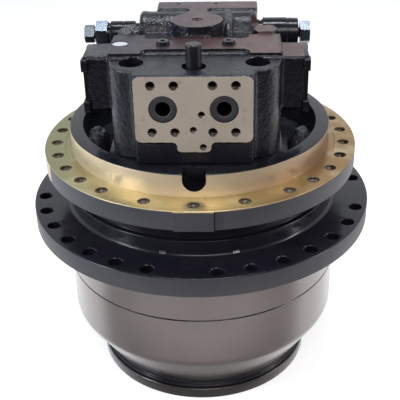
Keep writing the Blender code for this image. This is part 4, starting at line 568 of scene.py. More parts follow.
def turn(name, outline, finish=None, steps=192, centre=(0, 0, 0), axis="Z"):
    """Spins a closed outline of (radius, height) round an axis through the centre."""
    corners, faces, rings = [], [], []
    for radius, height in round_corners(outline):
        ring = []
        for k in range(steps if radius > 0.001 else 1):
            angle = math.tau * k / steps
            a, b = radius * math.cos(angle), radius * math.sin(angle)
            spot = {"Z": (a, b, height), "X": (height, a, b), "Y": (b, height, a)}[axis]
            ring.append(len(corners))
            corners.append(tuple((s + c) * MM for s, c in zip(spot, centre)))
        rings.append(ring)
    for lower, upper in zip(rings, rings[1:] + rings[:1]):
        for k in range(steps):
            after = k + 1
            quad = [lower[k % len(lower)], lower[after % len(lower)]]
            quad += [upper[after % len(upper)], upper[k % len(upper)]]
            quad = list(dict.fromkeys(quad))
            if len(quad) > 2:
                faces.append(quad)
    return solid(name, corners, faces, finish)


def plate(name, outline, low, high, finish=None, axis="Z"):
    """Extrudes an outline in the plane across the axis, from low to high, all in millimetres."""
    points = round_corners(outline)
    count = len(points)
    corners = []
    for level in (low, high):
        for a, b in points:
            spot = {"Z": (a, b, level), "X": (level, a, b), "Y": (a, level, b)}[axis]
            corners.append(tuple(v * MM for v in spot))
    faces = [list(range(count)), list(range(2 * count - 1, count - 1, -1))]
    faces += [[k, (k + 1) % count, count + (k + 1) % count, count + k] for k in range(count)]
    return solid(name, corners, faces, finish)


print("turning and extruding ready")

# %% Joining and cutting
def join(name, pieces):
    """Puts separate solids into one mesh, keeping their finishes."""
    mesh = bpy.data.meshes.new(name)
    shape = bmesh.new()
    finishes = []
    for piece in pieces:
        before = len(shape.faces)
        shape.from_mesh(piece.data)
        shape.faces.ensure_lookup_table()
        own = list(piece.data.materials) or [None]
        for finish in own:
            if finish not in finishes:
                finishes.append(finish)
        for face in shape.faces[before:]:
            face.material_index = finishes.index(own[min(face.material_index, len(own) - 1)])
        bpy.data.objects.remove(piece)
    shape.to_mesh(mesh)
    shape.free()
    for finish in finishes:
        mesh.materials.append(finish)
    return add_object(name, mesh)


def apply_modifiers(piece):
    """Replaces a piece's mesh by what its modifiers make of it."""
    graph = bpy.context.evaluated_depsgraph_get()
    result = bpy.data.meshes.new_from_object(piece.evaluated_get(graph))
    piece.modifiers.clear()
    piece.data = result
    return piece


def combine(target, tool, operation="DIFFERENCE", solver="EXACT"):
    """One Boolean. The tool's finish stays on the faces that it makes."""
    step = target.modifiers.new(operation.title(), "BOOLEAN")
    step.operation = operation
    step.solver = solver
    step.material_mode = "TRANSFER"
    step.object = tool
    apply_modifiers(target)
    bpy.data.objects.remove(tool)
    return target


print("joining and cutting ready")

# %% Finishing and fitting
def smooth(piece, degrees=28):
    """Shades a piece smooth, with sharp edges where it bends more than the angle."""
    piece.data.shade_smooth()
    piece.data.set_sharp_from_angle(angle=math.radians(degrees))
    return piece


def paint_faces(piece, rule):
    """Gives each face that has the first finish the one that the rule returns for its centre and normal."""
    finishes = piece.data.materials
    for face in piece.data.polygons:
        if face.material_index == 0:
            finish = rule(face.center / MM, face.normal)
            if finish.name not in finishes:
                finishes.append(finish)
            face.material_index = finishes.find(finish.name)
    return piece


def fit(piece, body, slot, *nodes):
    """Puts a finished piece on its body, in place of the solids it stands for."""
    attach(piece, body)
    if nodes:
        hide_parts(*nodes)
    return piece


print("finishing helpers ready")

# %% [markdown]
# ## Levels and radii of the unit
# All heights are counted from the floor up, in millimetres. They are the joints between the big
# pieces: cover, drum, hub, frame flange and valve casing. The radii are those of their outsides,
# and bolts, ports and plugs that pass through several pieces have one named place.

# %% Levels, radii and places
COVER_TOP = 15.8
DRUM_BOTTOM = 16.1
DRUM_TOP = 163.2
HUB_BOTTOM = 163.5
SPROCKET_LOW = 231.9
SPROCKET_HIGH = 258.6
HUB_TOP = 302.3
FLANGE_LOW = 311.6
GOLD_FACE = 338.5
SPIGOT_TOP = 368.1
BLOCK_TOP = SPIGOT_TOP + 114.1
BAND_TOP = BLOCK_TOP + 6
BOSS_TOP = BAND_TOP + 15

COVER_RADIUS = 153.7
DRUM_RADIUS = 190.5
SPROCKET_RADIUS = 234.7
FLANGE_RADIUS = 212.5
SPIGOT_RADIUS = 176

SIDES = (("left", -1), ("right", 1))
FRONT_BOLT = (76, -104)
REAR_BOLT = (62, 110)
PORT_X = 36.2
PORT_Z = SPIGOT_TOP + 72.4
PORT_FACE = -149
print("top of the boss:", BOSS_TOP, "mm")

# %% [markdown]
# ## The drum
# The drum is the ring gear itself: smooth outside, with the internal teeth that both stages of
# planets run in. It is turned from one outline with a soft shoulder into its cone and a groove
# above the cover. The teeth are cut as one star-shaped tool with 54 involute spaces. The tool
# starts inside the bore, so that the spaces open into it, and the teeth end at the bore's radius.

# %% Drum with its internal teeth
MODULE = 6.0
RING_TEETH = 54
PRESSURE = math.radians(25)
BACKLASH = 0.35
RING_BORE = 156
JOINT_CHAMFER = 1.1


def involute(angle):
    return math.tan(angle) - angle


def tooth_space_outline(tip, root):
    """A star with one involute space for each tooth of the ring gear."""
    pitch = MODULE * RING_TEETH / 2
    width = math.pi * MODULE / 2 + BACKLASH
    points = []
    for k in range(RING_TEETH):
        centre = math.tau * k / RING_TEETH
        flank = []
        for share in (0, 0.25, 0.5, 0.75, 1.0):
            radius = tip + (root - tip) * share
            here = math.acos(min(1.0, pitch * math.cos(PRESSURE) / radius))
            flank.append((radius, width / (2 * pitch) + involute(PRESSURE) - involute(here)))
        points += [(r, centre - h) for r, h in flank] + [(r, centre + h) for r, h in reversed(flank)]
    return [(r * math.cos(a), r * math.sin(a)) for r, a in points]


drum = turn(
    "drum_shell",
    [
        (128, DRUM_BOTTOM),
        (150.5, DRUM_BOTTOM, 0.8),
        (150.5, 20.1, 1.2),
        (147.5, 21.6, 1.2),
        (147.5, 29.4, 2.5),
        (154.0, 33.4, 2.5),
        (DRUM_RADIUS, 90.5, 24),
        (DRUM_RADIUS, DRUM_TOP - 1),
        (DRUM_RADIUS - JOINT_CHAMFER, DRUM_TOP),
        (172.3, DRUM_TOP),
        (172.3, DRUM_TOP - 4),
        (RING_BORE, DRUM_TOP - 4),
        (RING_BORE, 76.2),
        (128, 37.4),
    ],
    drum_satin,
)
spaces = tooth_space_outline(RING_BORE - 1.5, 169.5)
combine(drum, plate("tooth_spaces", spaces, 79.2, DRUM_TOP - 3, gear_steel))


def drum_finish(centre, normal):
    """Black in the groove over the cover; on the chamfer at the joint with the hub, black as a painted shadow
    line.
    """
    # The chamfer at the joint with the hub is black as a painted shadow line.
    in_joint_painted_shadow = centre.xy.length > 189 and DRUM_TOP - 1 < centre.z
    return hub_black if centre.z < 31.5 or in_joint_painted_shadow else drum_satin


paint_faces(drum, drum_finish)
smooth(drum, 24)
fit(drum, "turning_hub", "drum_grey", "ring_gear")
print("drum faces:", len(drum.data.polygons))

# %% [markdown]
# ## The hub with its sprocket flange
# The hub turns on the main bearings and carries the track's sprocket on a wide flange. It is one
# forging, turned all over: grey like the drum under the flange, and gloss black above it. The
# collar over the flange is narrower here than in the solid model, because the photograph shows it
# so. A fillet joins the flange to the collar, and that fillet is what draws the long bright streak
# in the photograph. The 28 bolt holes are one cutter made of 28 chamfered pins, placed in four
# groups with a gap between them.

# %% Hub outline
hub = turn(
    "hub_with_flange",
    [
        (160, HUB_BOTTOM - 4),
        (172, HUB_BOTTOM - 4),
        (172, HUB_BOTTOM),
        (DRUM_RADIUS - JOINT_CHAMFER, HUB_BOTTOM),
        (DRUM_RADIUS, HUB_BOTTOM + 1),
        (DRUM_RADIUS, SPROCKET_LOW, 1.5),
        (SPROCKET_RADIUS, SPROCKET_LOW, 1.8),
        (SPROCKET_RADIUS, SPROCKET_HIGH, 1.8),
        (184.4, SPROCKET_HIGH, 5.5),
        (182.8, 279.2, 1.6),
        (176.6, 280.2, 1),
        (175.6, HUB_TOP, 1),
        (172.5, HUB_TOP, 0.8),
        (172.5, HUB_TOP - 15),
        (166, HUB_TOP - 19),
        (166, HUB_TOP - 33),
        (160, HUB_TOP - 33),
        (160, 220.5),
        (152.5, 220.5),
        (152.5, 211.5),
        (160, 211.5),
    ],
    hub_black,
    256,
)
print("hub faces before the holes:", len(hub.data.polygons))

# %% Sprocket holes, nicks and paint
SPROCKET_CIRCLE = 220
FIRST_GAP = -4.15
HOLE_STEP = 11.25


def hole_cutter(name, radius, low, high, chamfer, spots, finish):
    """Chamfered pins for a group of through holes, as one tool."""
    outline = [
        (0, low - 1),
        (radius + chamfer + 1, low - 1),
        (radius, low + chamfer),
        (radius, high - chamfer),
        (radius + chamfer + 1, high + 1),
        (0, high + 1),
    ]
    return join(name, [turn("pin", outline, finish, 32, (*spot, 0)) for spot in spots])


def around(radius, degrees):
    """A point on a circle, its angle counted from the front of the unit."""
    angle = math.radians(degrees - 90)
    return (radius * math.cos(angle), radius * math.sin(angle))


hole_angles = [FIRST_GAP + 90 * group + HOLE_STEP * k for group in range(4) for k in range(1, 8)]
sprocket_spots = [around(SPROCKET_CIRCLE, angle) for angle in hole_angles]
combine(hub, hole_cutter("sprocket_holes", 8.6, SPROCKET_LOW, SPROCKET_HIGH, 0.9, sprocket_spots, smooth_paint))
nicks = []
for degrees in (-13.0, 15.8):
    nick = plate("nick", box_outline(-4, 4, -188.6, -183.4), 260.2, 263.8, bare_steel)
    nick.data.transform(Matrix.Rotation(math.radians(degrees), 4, "Z"))
    nicks.append(nick)
combine(hub, join("collar_nicks", nicks))


def hub_finish(centre, normal):
    """Grey on the barrel and the flange's rim, steel inside, black on the rest."""
    radius = centre.xy.length
    # The hub's chamfer at the joint with the drum: black as a painted shadow line.
    if radius > 189 and centre.z < HUB_BOTTOM + 1.1:
        return hub_black
    if radius > 233 and abs(normal.z) < 0.5:
        return flange_grey
    if radius < 176 or centre.z < HUB_BOTTOM + 0.1:
        return gear_steel
    return drum_satin if centre.z < SPROCKET_LOW - 1 else hub_black


paint_faces(hub, hub_finish)
smooth(hub, 24)
fit(hub, "turning_hub", "black_paint", "hub")
print("sprocket holes:", len(sprocket_spots))

# %% [markdown]
# ## The cover underneath
# The unit stands on its gearbox cover. The cover closes the drum with a ring of cap screws sunk in
# counterbores, and holds the fill and level plugs in its recess. None of this shows in the
# photograph, so it follows what such covers have. The outline is turned and the screws are small
# turned heads with hexagon sockets, in one mesh.

# %% Cover
PLUG_SPOTS = {"fill_plug": (0, 95), "level_plug": (0, -95)}
cover = turn(
    "gearbox_cover",
    [
        (0, 5),
        (112, 5, 1.5),
        (112, 0, 1.0),
        (COVER_RADIUS, 0, 1.6),
        (COVER_RADIUS, COVER_TOP, 1.6),
        (127.7, COVER_TOP),
        (127.7, COVER_TOP + 12, 1.0),
        (113.7, COVER_TOP + 12, 1.0),
        (113.7, COVER_TOP),
        (0, COVER_TOP),
    ],
    cover_satin,
)
screw_spots = [around(137.5, 15 + 30 * k) for k in range(12)]
screw_sinks = [plate("sink", ring_of_points(7.2, 32, spot), -2, 7.5) for spot in screw_spots]
combine(cover, join("screw_sinks", screw_sinks))
plug_sinks = [plate("sink", ring_of_points(13, 48, spot), 0, 13.8) for spot in PLUG_SPOTS.values()]
combine(cover, join("plug_sinks", plug_sinks))
smooth(cover)
fit(cover, "turning_hub", "drum_grey", "cover")
print("cover faces:", len(cover.data.polygons))

# %% Cover screws and plugs
def socket_screw(name, spot, radius, low, high, socket, depth, finish, upwards=True):
    """A round head with a chamfered rim and a hexagon socket."""
    edge = radius * 0.1
    profile = [(0, low), (radius, low, edge), (radius, high, edge), (0, high)]
    head = turn(name, profile, finish, 48, (*spot, 0))
    reach = (high - depth, high + 2) if upwards else (low - 2, low + depth)
    return combine(head, plate("socket", ring_of_points(socket, 6, spot), *reach))


heads = [socket_screw("head", spot, 6.6, 1.0, 7.3, 3.4, 4.0, bare_steel, False) for spot in screw_spots]
fit(smooth(join("cover_screws", heads)), "turning_hub", "bare_steel")
for plug_name, spot in PLUG_SPOTS.items():
    plug = socket_screw(plug_name + "_head", spot, 12.6, 2.0, 11.0, 6, 6.0, bare_steel, False)
    fit(smooth(plug), "turning_hub", "bare_steel", plug_name)
print("cover screws:", len(screw_spots))

# %% [markdown]
# ## Frame flange and spigot
# This is the still half: the flange bolts to the track frame, and the spigot above it centres the
# motor. The flange's face and the spigot's side are the yellow zinc that catches the eye, and the
# rim is dark but for its left end, where the zinc is a painted highlight. One outline is turned,
# then a timing pad is joined to the front, and the notch, the two casting pockets and the 26
# tapped holes are cut. A narrow black slot at the pad's right is a painted shadow line. Each
# tapped hole has real thread grooves, because the camera looks down into them.

# %% Frame flange outline
spigot = turn(
    "frame_flange_and_spigot",
    [
        (98, 205.5),
        (98, SPIGOT_TOP, 1),
        (SPIGOT_RADIUS, SPIGOT_TOP, 1.6),
        (SPIGOT_RADIUS, GOLD_FACE - 0.6),
        (184.5, GOLD_FACE - 0.6),
        (185.2, GOLD_FACE),
        (FLANGE_RADIUS, GOLD_FACE, 1.2),
        (FLANGE_RADIUS, FLANGE_LOW, 1.8),
        (171.5, FLANGE_LOW, 2),
        (171.5, 289.3),
        (166, 289.3),
        (166, 301.3),
        (150, 301.3),
        (150, 272.3),
        (135.8, 253.1),
        (135.8, 249.1),
        (125, 249.1),
        (125, 183.2),
        (118, 183.2),
        (118, 170.5),
        (46, 170.5),
        (46, 205.5),
    ],
    flange_grey,
    256,
)
combine(spigot, plate("timing_pad", box_outline(-24, 24, -214, -181), 312.4, 337.7, flange_grey), "UNION")
# A narrow slot at the pad's right side, faced in black: a painted shadow line.
combine(spigot, plate("pad_painted_shadow_slot", box_outline(24.1, 25.5, -216, -209), 311, 337.4, hub_black))


def spigot_finish(centre, normal):
    """Zinc on the upper face, the spigot's side and, as a painted highlight, the rim's left-facing faces; paint
    on its top, steel inside.
    """
    radius = centre.xy.length
    # Left-facing faces of the rim and the timing pad: zinc as a painted highlight from the left lamp.
    if normal.x < -0.9 and radius > 211:
        return spigot_zinc
    if normal.z > 0.5 and centre.z < GOLD_FACE + 1 and radius > 176.5:
        return flange_zinc
    if centre.z > 337 and radius > 174.5 and normal.z < 0.35:
        return spigot_zinc
    if centre.z > GOLD_FACE and radius > 100:
        return smooth_paint
    return gear_steel if radius < 172 and centre.z < 312 else flange_grey


paint_faces(spigot, spigot_finish)
print("flange faces before the cuts:", len(spigot.data.polygons))

# %% Notch and pockets
notch = [(-14.5, 373), *arc_points((0, 360), 14.5, 180, 360, 24), (14.5, 373)]
combine(spigot, plate("notch", notch, -181, -154, smooth_paint, "Y"))


def pocket_outline(side):
    """A pocket between the spigot's wall and the motor chamber, with round inner corners."""
    rim = arc_points((0, 0), 158.5, -46, 40, 24)
    inner = [(108.5, rim[-1][1], 9), (108.5, rim[0][1], 9)]
    return [(side * x, *rest) for x, *rest in rim + inner]


for side in (-1, 1):
    combine(spigot, plate("pocket", pocket_outline(side), SPIGOT_TOP - 45, SPIGOT_TOP + 5, pocket_paint))
print("flange faces with notch and pockets:", len(spigot.data.polygons))

# %% Tapped holes
FRAME_CIRCLE = 196


def threaded_cutter(name, radius, pitch, low, high, spots, axis="Z", chamfer=1.0):
    """A pin with thread grooves for each tapped hole, from its bottom at low to the face at high."""
    way = 1 if high > low else -1
    depth = abs(high - low)
    ridge = [(0, low), (radius, low)]
    level = pitch
    while level < depth - chamfer - pitch:
        ridge += [(radius, low + way * level), (radius + pitch * 0.45, low + way * (level + pitch * 0.5))]
        level += pitch
    ridge += [(radius, high - way * chamfer), (radius + chamfer + 1, high + way), (0, high + way)]
    centres = [(*spot, 0) if axis == "Z" else (spot[0], 0, spot[1]) for spot in spots]
    return join(name, [turn("pin", ridge, hole_steel, 24, centre, axis) for centre in centres])


def on_side(side, spot):
    return (side * spot[0], spot[1])


right_angles = [18, 36, *range(48, 145, 12), 162]
frame_angles = [0, *right_angles, *[-angle for angle in right_angles], 180]
frame_spots = [around(FRAME_CIRCLE, angle) for angle in frame_angles]
combine(spigot, threaded_cutter("frame_holes", 7.1, 2.0, 308.0, GOLD_FACE, frame_spots))
bolt_spots = [on_side(side, spot) for spot in (FRONT_BOLT, REAR_BOLT) for side in (-1, 1)]
bolt_threads = [plate("thread", ring_of_points(8.3, 32, spot), 334, 372, hole_steel) for spot in bolt_spots]
combine(spigot, join("casing_bolt_threads", bolt_threads))
smooth(spigot, 24)
fit(spigot, "still_casing", "gold_zinc", "motor_casing")
print("tapped holes:", len(frame_spots), "flange faces:", len(spigot.data.polygons))

# %% [markdown]
# ## Cast lumps in the pockets
# In each pocket stands a rough lump of the casting, where the motor's cast wall swells. A lump is
# an ellipsoid pushed about by noise, with its foot in the pocket floor.

# %% Cast lumps
def cast_lump(name, centre, size, seed, roughness=0.1, finish=None):
    """An ellipsoid whose points are pushed in and out by a coarse and a fine noise."""
    shape = bmesh.new()
    bmesh.ops.create_icosphere(shape, subdivisions=5, radius=1.0)
    for vert in shape.verts:
        push = 1 + roughness * noise.fractal(vert.co * 2.2 + Vector((seed, 0, 0)), 0.9, 2.0, 3)
        push += roughness * 0.25 * noise.noise(vert.co * 14 + Vector((0, seed, 0)))
        vert.co = Vector([c * push * s + o for c, s, o in zip(vert.co, size, centre)]) * MM
    mesh = bpy.data.meshes.new(name)
    shape.to_mesh(mesh)
    shape.free()
    if finish:
        mesh.materials.append(finish)
    return add_object(name, mesh)


for word, side in SIDES:
    lump = cast_lump(f"cast_lump_{word}", (side * 138, -25, 333), (18, 31, 27), 3 + side, finish=pocket_paint)
    fit(smooth(lump, 60), "still_casing", "black_paint")
print("two cast lumps")

# %% [markdown]
# ## The valve casing, cast and then machined
# The valve casing is a sand casting that was milled and bored afterwards, and it is modelled in
# that order. First the cast forms are put together roughly and turned into small voxels, and the
# voxel skin is smoothed: that rounds every corner and fills every joint with a fillet, as molten
# iron does. Then noise moves the skin a little, for the grain of the sand. Last come the cuts, whose
# faces stay flat and sharp. Their finish comes from the cutting tools, through the Boolean.

# %% Block, band and ridge of the valve casing
CASING_FOOT = 368.4
HOUSING_Y = 38
HOUSING_Z = BLOCK_TOP - 9
HOUSING = (0, HOUSING_Y, HOUSING_Z)

front_right = [(70.5, -147), (73.5, -134), *arc_points(FRONT_BOLT, 27, -68, 0), (106, -88)]
body_right = front_right + [(106, 63), (74, 95)]
upper_right = front_right + [(106, -14), (76, -14), (76, 83)]
band_right = [(107, -88), (107, -16), (66.5, -16), *arc_points((58.5, -24), 8, 0, -90, 6)]
band_front = [(66.5, -88), *arc_points((58.5, -80), 8, 0, 90, 6)]
band = mirror_outline(band_right) + [(-x, y) for x, y in band_front] + list(reversed(band_front))
neck = [(20, 54), (18.5, 52)]
neck += arc_points((18.5, 44), 8, 90, 180, 6) + arc_points((20.5, 37.8), 10, 180, 241, 6) + [(14, 20)]

cast_forms = [
    plate("lower_body", mirror_outline(body_right), CASING_FOOT, SPIGOT_TOP + 84),
    plate("upper_block", mirror_outline(upper_right), SPIGOT_TOP + 80, BLOCK_TOP),
    plate("band_stock", band, BLOCK_TOP - 12, BAND_TOP + 2),
    plate("boss_stock", ring_of_points(33, 48), BLOCK_TOP - 10, BOSS_TOP + 2),
    plate("ridge_stock", box_outline(-56, 79, 52, 83), HOUSING_Z, BOSS_TOP + 2),
    plate("ridge_neck", mirror_outline(neck), HOUSING_Z, BOSS_TOP + 2),
]
for side in (-1, 1):
    ear = ring_of_points(22, 32, on_side(side, REAR_BOLT))
    cast_forms.append(plate("rear_ear", ear, CASING_FOOT, SPIGOT_TOP + 30))
print("cast forms:", len(cast_forms))

# %% Spool housing, bosses, wings and port pad
half_housing = [(29, 68), (30, 70), (30, 75, 2), (26, 78), (0, 78)]
housing_profile = [(r, -x, *fillet) for r, x, *fillet in reversed(half_housing)] + half_housing
cast_forms.append(turn("spool_housing", housing_profile, None, 48, HOUSING, "X"))
cast_forms.append(plate("fin", box_outline(-36.5, -33, -10, 20), BLOCK_TOP - 10, BLOCK_TOP + 8))

octagon = [(14.5, -6), (14.5, 6), (8.5, 15), (-8.5, 15), (-14.5, 6), (-14.5, -6), (-8.5, -15), (8.5, -15)]
right_boss = [(88 + x, 1 + y) for x, y in octagon]
cast_forms.append(plate("right_boss", right_boss, SPIGOT_TOP + 78, BLOCK_TOP + 10))

WING_FOOT = [(-79, 45), (-72, 38), (-26, 38), (-19, 45), (-19, 105)]
wing = [*WING_FOOT, (-26, 113), (-76, 113), (-79, 109)]
cast_forms.append(plate("wings", [(y, SPIGOT_TOP + z) for y, z in wing], -134.5, 134.5, None, "X"))

port_right = [(17, 17.5), (20, 19.5), (20, 24.5), *arc_points((26, 24.5), 6, 180, 90, 4)]
port_right += [(66.5, 30.5), (70.5, 34.5), (70.5, 108.5), (66.5, 112.5)]
port_outline = mirror_outline([(x, SPIGOT_TOP + z) for x, z in port_right])
cast_forms.append(plate("port_pad", port_outline, PORT_FACE - 2, -137, None, "Y"))
print("cast forms:", len(cast_forms))

# %% [markdown]
# A rib and a rough boss were modelled by hand in the foundry pattern. The rib is a round bar bent
# over the housing. The boss on the left is an uneven lump with a rougher skin of its own, which is
# why it glitters in the photograph.

# %% Rib and rough boss
def round_bar(name, points, radius):
    """A closed round bar along a few points; points and radius in millimetres."""
    line = bpy.data.curves.new(name, "CURVE")
    line.dimensions = "3D"
    line.bevel_depth = radius * MM
    line.bevel_resolution = 4
    line.use_fill_caps = True
    path = line.splines.new("POLY")
    path.points.add(len(points) - 1)
    for point, spot in zip(path.points, points):
        point.co = (*[v * MM for v in spot], 1)
    bar = add_object(name, line)
    graph = bpy.context.evaluated_depsgraph_get()
    mesh = bpy.data.meshes.new_from_object(bar.evaluated_get(graph))
    bpy.data.objects.remove(bar)
    return add_object(name, mesh)


RIB_X = 40.5
rib_steps = ((46, 15), (30, 14), (8, 12), (0, 10), (-6, 6), (-10, 0), (-12, -6))
cast_forms.append(round_bar("rib", [(RIB_X, y, BLOCK_TOP + z) for y, z in rib_steps], 6.5))
left_boss = [(-88 + x, 1 + y) for x, y in octagon]
cast_forms.append(plate("left_boss_block", left_boss, SPIGOT_TOP + 78, BLOCK_TOP + 6))
cast_forms.append(cast_lump("left_boss", (-87, 3, BLOCK_TOP - 1), (15, 17, 12), 11, 0.22))
boss_skin = cast_lump("rough_boss_skin", (-87.5, 2, BLOCK_TOP + 1), (15, 17, 11), 12, 0.25, boss_paint)
fit(smooth(boss_skin, 60), "still_casing", "black_paint")
cast_forms.append(cast_lump("left_boss_foot", (-92, 8, BLOCK_TOP - 14), (15, 20, 14), 12, 0.08))

casting = join("valve_casting", cast_forms)
casting.data.materials[0] = cast_paint
print("faces of the rough forms:", len(casting.data.polygons))

# %% Voxel skin, fillets and sand grain
skin = casting.modifiers.new("Skin", "REMESH")
skin.mode = "VOXEL"
skin.voxel_size = 1.7 * MM
round_off = casting.modifiers.new("Fillets", "SMOOTH")
round_off.factor = 0.5
round_off.iterations = 7
apply_modifiers(casting)


def sand_grain(piece, strength, size):
    """Moves each point along its normal by noise, as the sand mould leaves it."""
    mesh = piece.data
    shift = []
    for vert in mesh.vertices:
        spot = vert.co / (size * MM)
        shift.append(noise.noise(spot) * 0.7 + noise.noise(spot * 2.3) * 0.3)
    normals = [vert.normal.copy() for vert in mesh.vertices]
    for vert, normal, amount in zip(mesh.vertices, normals, shift):
        vert.co += normal * amount * strength * MM
    mesh.update()


sand_grain(casting, 0.45, 5.0)
print("voxel skin:", len(casting.data.polygons), "faces")

# %% [markdown]
# The machining comes next: first the flat faces, then the large bores, then the small holes.
# Cutters that don't touch each other go into one tool. The voxel skin has tens of thousands of
# faces, and Blender's manifold solver cuts it where the exact one turned the whole casting inside
# out, so a volume is printed after each cut.

# %% Milling
flats = {
    "mill_left_pad": (-140, -44, -91, -14, BAND_TOP, BAND_TOP + 12, milled_paint),
    "mill_right_pad": (44, 104.5, -91, -14.2, BAND_TOP, BAND_TOP + 12, milled_paint),
    "mill_strip": (-44, 44, -91, -33.4, BAND_TOP, BAND_TOP + 12, milled_paint),
    "mill_boss": (-62, 84, -36, 90, BOSS_TOP, BOSS_TOP + 12, milled_paint),
    "mill_right_boss": (70, 107, -13.8, 26, BLOCK_TOP + 8.3, BLOCK_TOP + 30, milled_paint),
    "mill_right_wing": (107.2, 140, -90, -10, SPIGOT_TOP + 111.8, BAND_TOP + 20, milled_paint),
    "mill_left_end": (-145, -133.2, -95, 0, 380, 487, smooth_paint),
    "mill_right_end": (133.2, 146, -95, 0, 380, 479.8, smooth_paint),
    "mill_port_face": (-80, 80, -160, PORT_FACE, 375, 490, port_iron),
    "mill_foot": (-130, 130, -160, 140, 355, CASING_FOOT, gear_steel),
}
cutters = []
for name, (*sides, low, high, finish) in flats.items():
    cutters.append(plate(name, box_outline(*sides), low, high, finish))
all_flats = cutters[0]
for cutter in cutters[1:]:
    combine(all_flats, cutter, "UNION")
combine(casting, all_flats, solver="MANIFOLD")


def litres(piece):
    shape = bmesh.new()
    shape.from_mesh(piece.data)
    volume = shape.calc_volume(signed=True) * 1000
    shape.free()
    return round(volume, 3)


print("after milling:", litres(casting), "litres")

# %% Boring
BAND_PLUG = (41, -54)
DRAIN_SPOT = (0, -116.7, 0)
DISC_SPOT = (-95.5, -48, 0)
BOLT_BORE = 8.3
counterbore = [(0, 398.1), (15, 398.1), (15, 481), (16.4, 492), (0, 492)]
plug_seat = [(0, 474), (6.3, 474), (6.3, 487.6), (9.6, 487.6), (9.6, 492), (0, 492)]
port_profile = [(0, -123), (16.8, -123), (16.8, -148.4), (18.0, PORT_FACE - 2), (0, PORT_FACE - 2)]
drain_seat = [(0, 461.9), (9.8, 461.9), (9.8, 472.2), (14.5, 472.2), (14.5, 481), (15.6, 486), (0, 486)]
boss_seat = [(0, 490.9), (6.5, 490.9), (6.5, 502.6), (7.6, 506), (0, 506)]

bores = []
for side in (-1, 1):
    front, rear, plug_place = [(*on_side(side, spot), 0) for spot in (FRONT_BOLT, REAR_BOLT, BAND_PLUG)]
    bores.append(turn("counterbore", counterbore, smooth_paint, 48, front))
    bores.append(turn("rear_bolt_hole", pin_outline(BOLT_BORE, 360, 402), smooth_paint, 32, rear))
    bores.append(turn("band_plug_seat", plug_seat, smooth_paint, 48, plug_place))
    bores.append(turn("port", port_profile, hole_steel, 64, (side * PORT_X, 0, PORT_Z), "Y"))
bores.append(turn("drain_bore", drain_seat, smooth_paint, 64, DRAIN_SPOT))
bores.append(turn("disc_seat", pin_outline(10.3, 482.9, 491), smooth_paint, 48, DISC_SPOT))
bores.append(turn("boss_bore", boss_seat, smooth_paint, 48))
bores.append(turn("spool_bore", pin_outline(14, -140, 140), hole_steel, 48, (0, -49, SPIGOT_TOP + 75), "X"))
combine(casting, join("bores", bores), solver="MANIFOLD")
print("after boring:", litres(casting), "litres")

# %% Tapped and drilled holes
RIDGE_SCREWS = [(-28, 72), (23, 72)]
bolt_holes = [
    (side * PORT_X + dx, PORT_Z + dz) for side in (-1, 1) for dx in (-13.6, 13.6) for dz in (-29.5, 29.5)
]
port_bolts = threaded_cutter("port_bolts", 4.9, 1.6, -129, PORT_FACE, bolt_holes, "Y", 0.9)
gauge_spots = [(9.4, SPIGOT_TOP + 65.4), (-0.6, SPIGOT_TOP + 45.8), (10.8, SPIGOT_TOP + 23.4)]
gauges = threaded_cutter("gauge_holes", 3.6, 1.2, -138, PORT_FACE, gauge_spots, "Y", 0.8)
combine(casting, join("face_holes", [port_bolts, gauges]), solver="MANIFOLD")
print("after the holes of the port face:", litres(casting), "litres")

end_bores = []
for side in (-1, 1):
    end_bores.append(turn("end", pin_outline(9.3, side * 54, side * 84), smooth_paint, 32, HOUSING, "X"))
combine(casting, join("end_bores", end_bores), solver="MANIFOLD")
ridge_hole = [(0, 497), (2.9, 497), (3.3, 508), (0, 508)]
ridge_holes = [turn("hole", ridge_hole, smooth_paint, 24, (*spot, 0)) for spot in RIDGE_SCREWS]
combine(casting, join("ridge_holes", ridge_holes), solver="MANIFOLD")
foot_bores = []
for side in (-1, 1):
    front = (*on_side(side, FRONT_BOLT), 0)
    foot_bores.append(turn("front_bolt_hole", pin_outline(BOLT_BORE, 360, 400), smooth_paint, 32, front))
foot_bores.append(turn("shaft_bore", pin_outline(22.8, 342, 380), gear_steel, 48))
combine(casting, join("foot_bores", foot_bores), solver="MANIFOLD")
print("after drilling:", litres(casting), "litres")

# %% [markdown]
# The centring spigot under the casing fits in the motor chamber. It is turned, so it joins the
# machined casting as its own sharp form after the voxel step.

# %% Centring spigot of the casing
lower_outline = [(22.8, 347.1), (96.5, 347.1), (97.7, 348.3), (97.7, 370), (22.8, 370)]
combine(casting, turn("lower_spigot", lower_outline, gear_steel, 128), "UNION", "MANIFOLD")
smooth(casting, 30)
fit(casting, "still_casing", "black_paint", "valve_casing")
print("valve casing:", litres(casting), "litres,", len(casting.data.polygons), "faces")

# %% [markdown]
# ## Plugs, discs and bolts on the casing
# The small fittings are what the eye uses to judge the size of the unit. Each one is turned with
# real chamfers, and those that a key turns have their hexagon socket cut in. The bores of the dust
# plugs lie in deep shadow on the real unit, so their faces get painted shade: a black that hardly
# mirrors.

# %% Port dust plugs
PLUG_BORE = 8.8


def dust_plug(word, side):
    profile = [
        (0, -126.0),
        (PLUG_BORE, -126.0, 1.5),
        (PLUG_BORE, -148.0, 1.0),
        (10.5, -148.9, 0.8),
        (15.6, -148.9, 0.8),
        (16.4, -147.8, 0.5),
        (16.4, -124.2, 1.0),
        (0, -124.2),
    ]
    plug = turn(f"dust_plug_{word}", profile, plug_rubber, 96, (side * PORT_X, 0, PORT_Z), "Y")

    def plug_finish(centre, normal):
        off_axis = math.hypot(centre.x - side * PORT_X, centre.z - PORT_Z)
        # The bore's faces get painted shade.
        return painted_shade_black if off_axis < PLUG_BORE + 0.1 else plug_rubber

    paint_faces(plug, plug_finish)
    fit(smooth(plug), "still_casing", "black_rubber", f"port_plug_{word}")


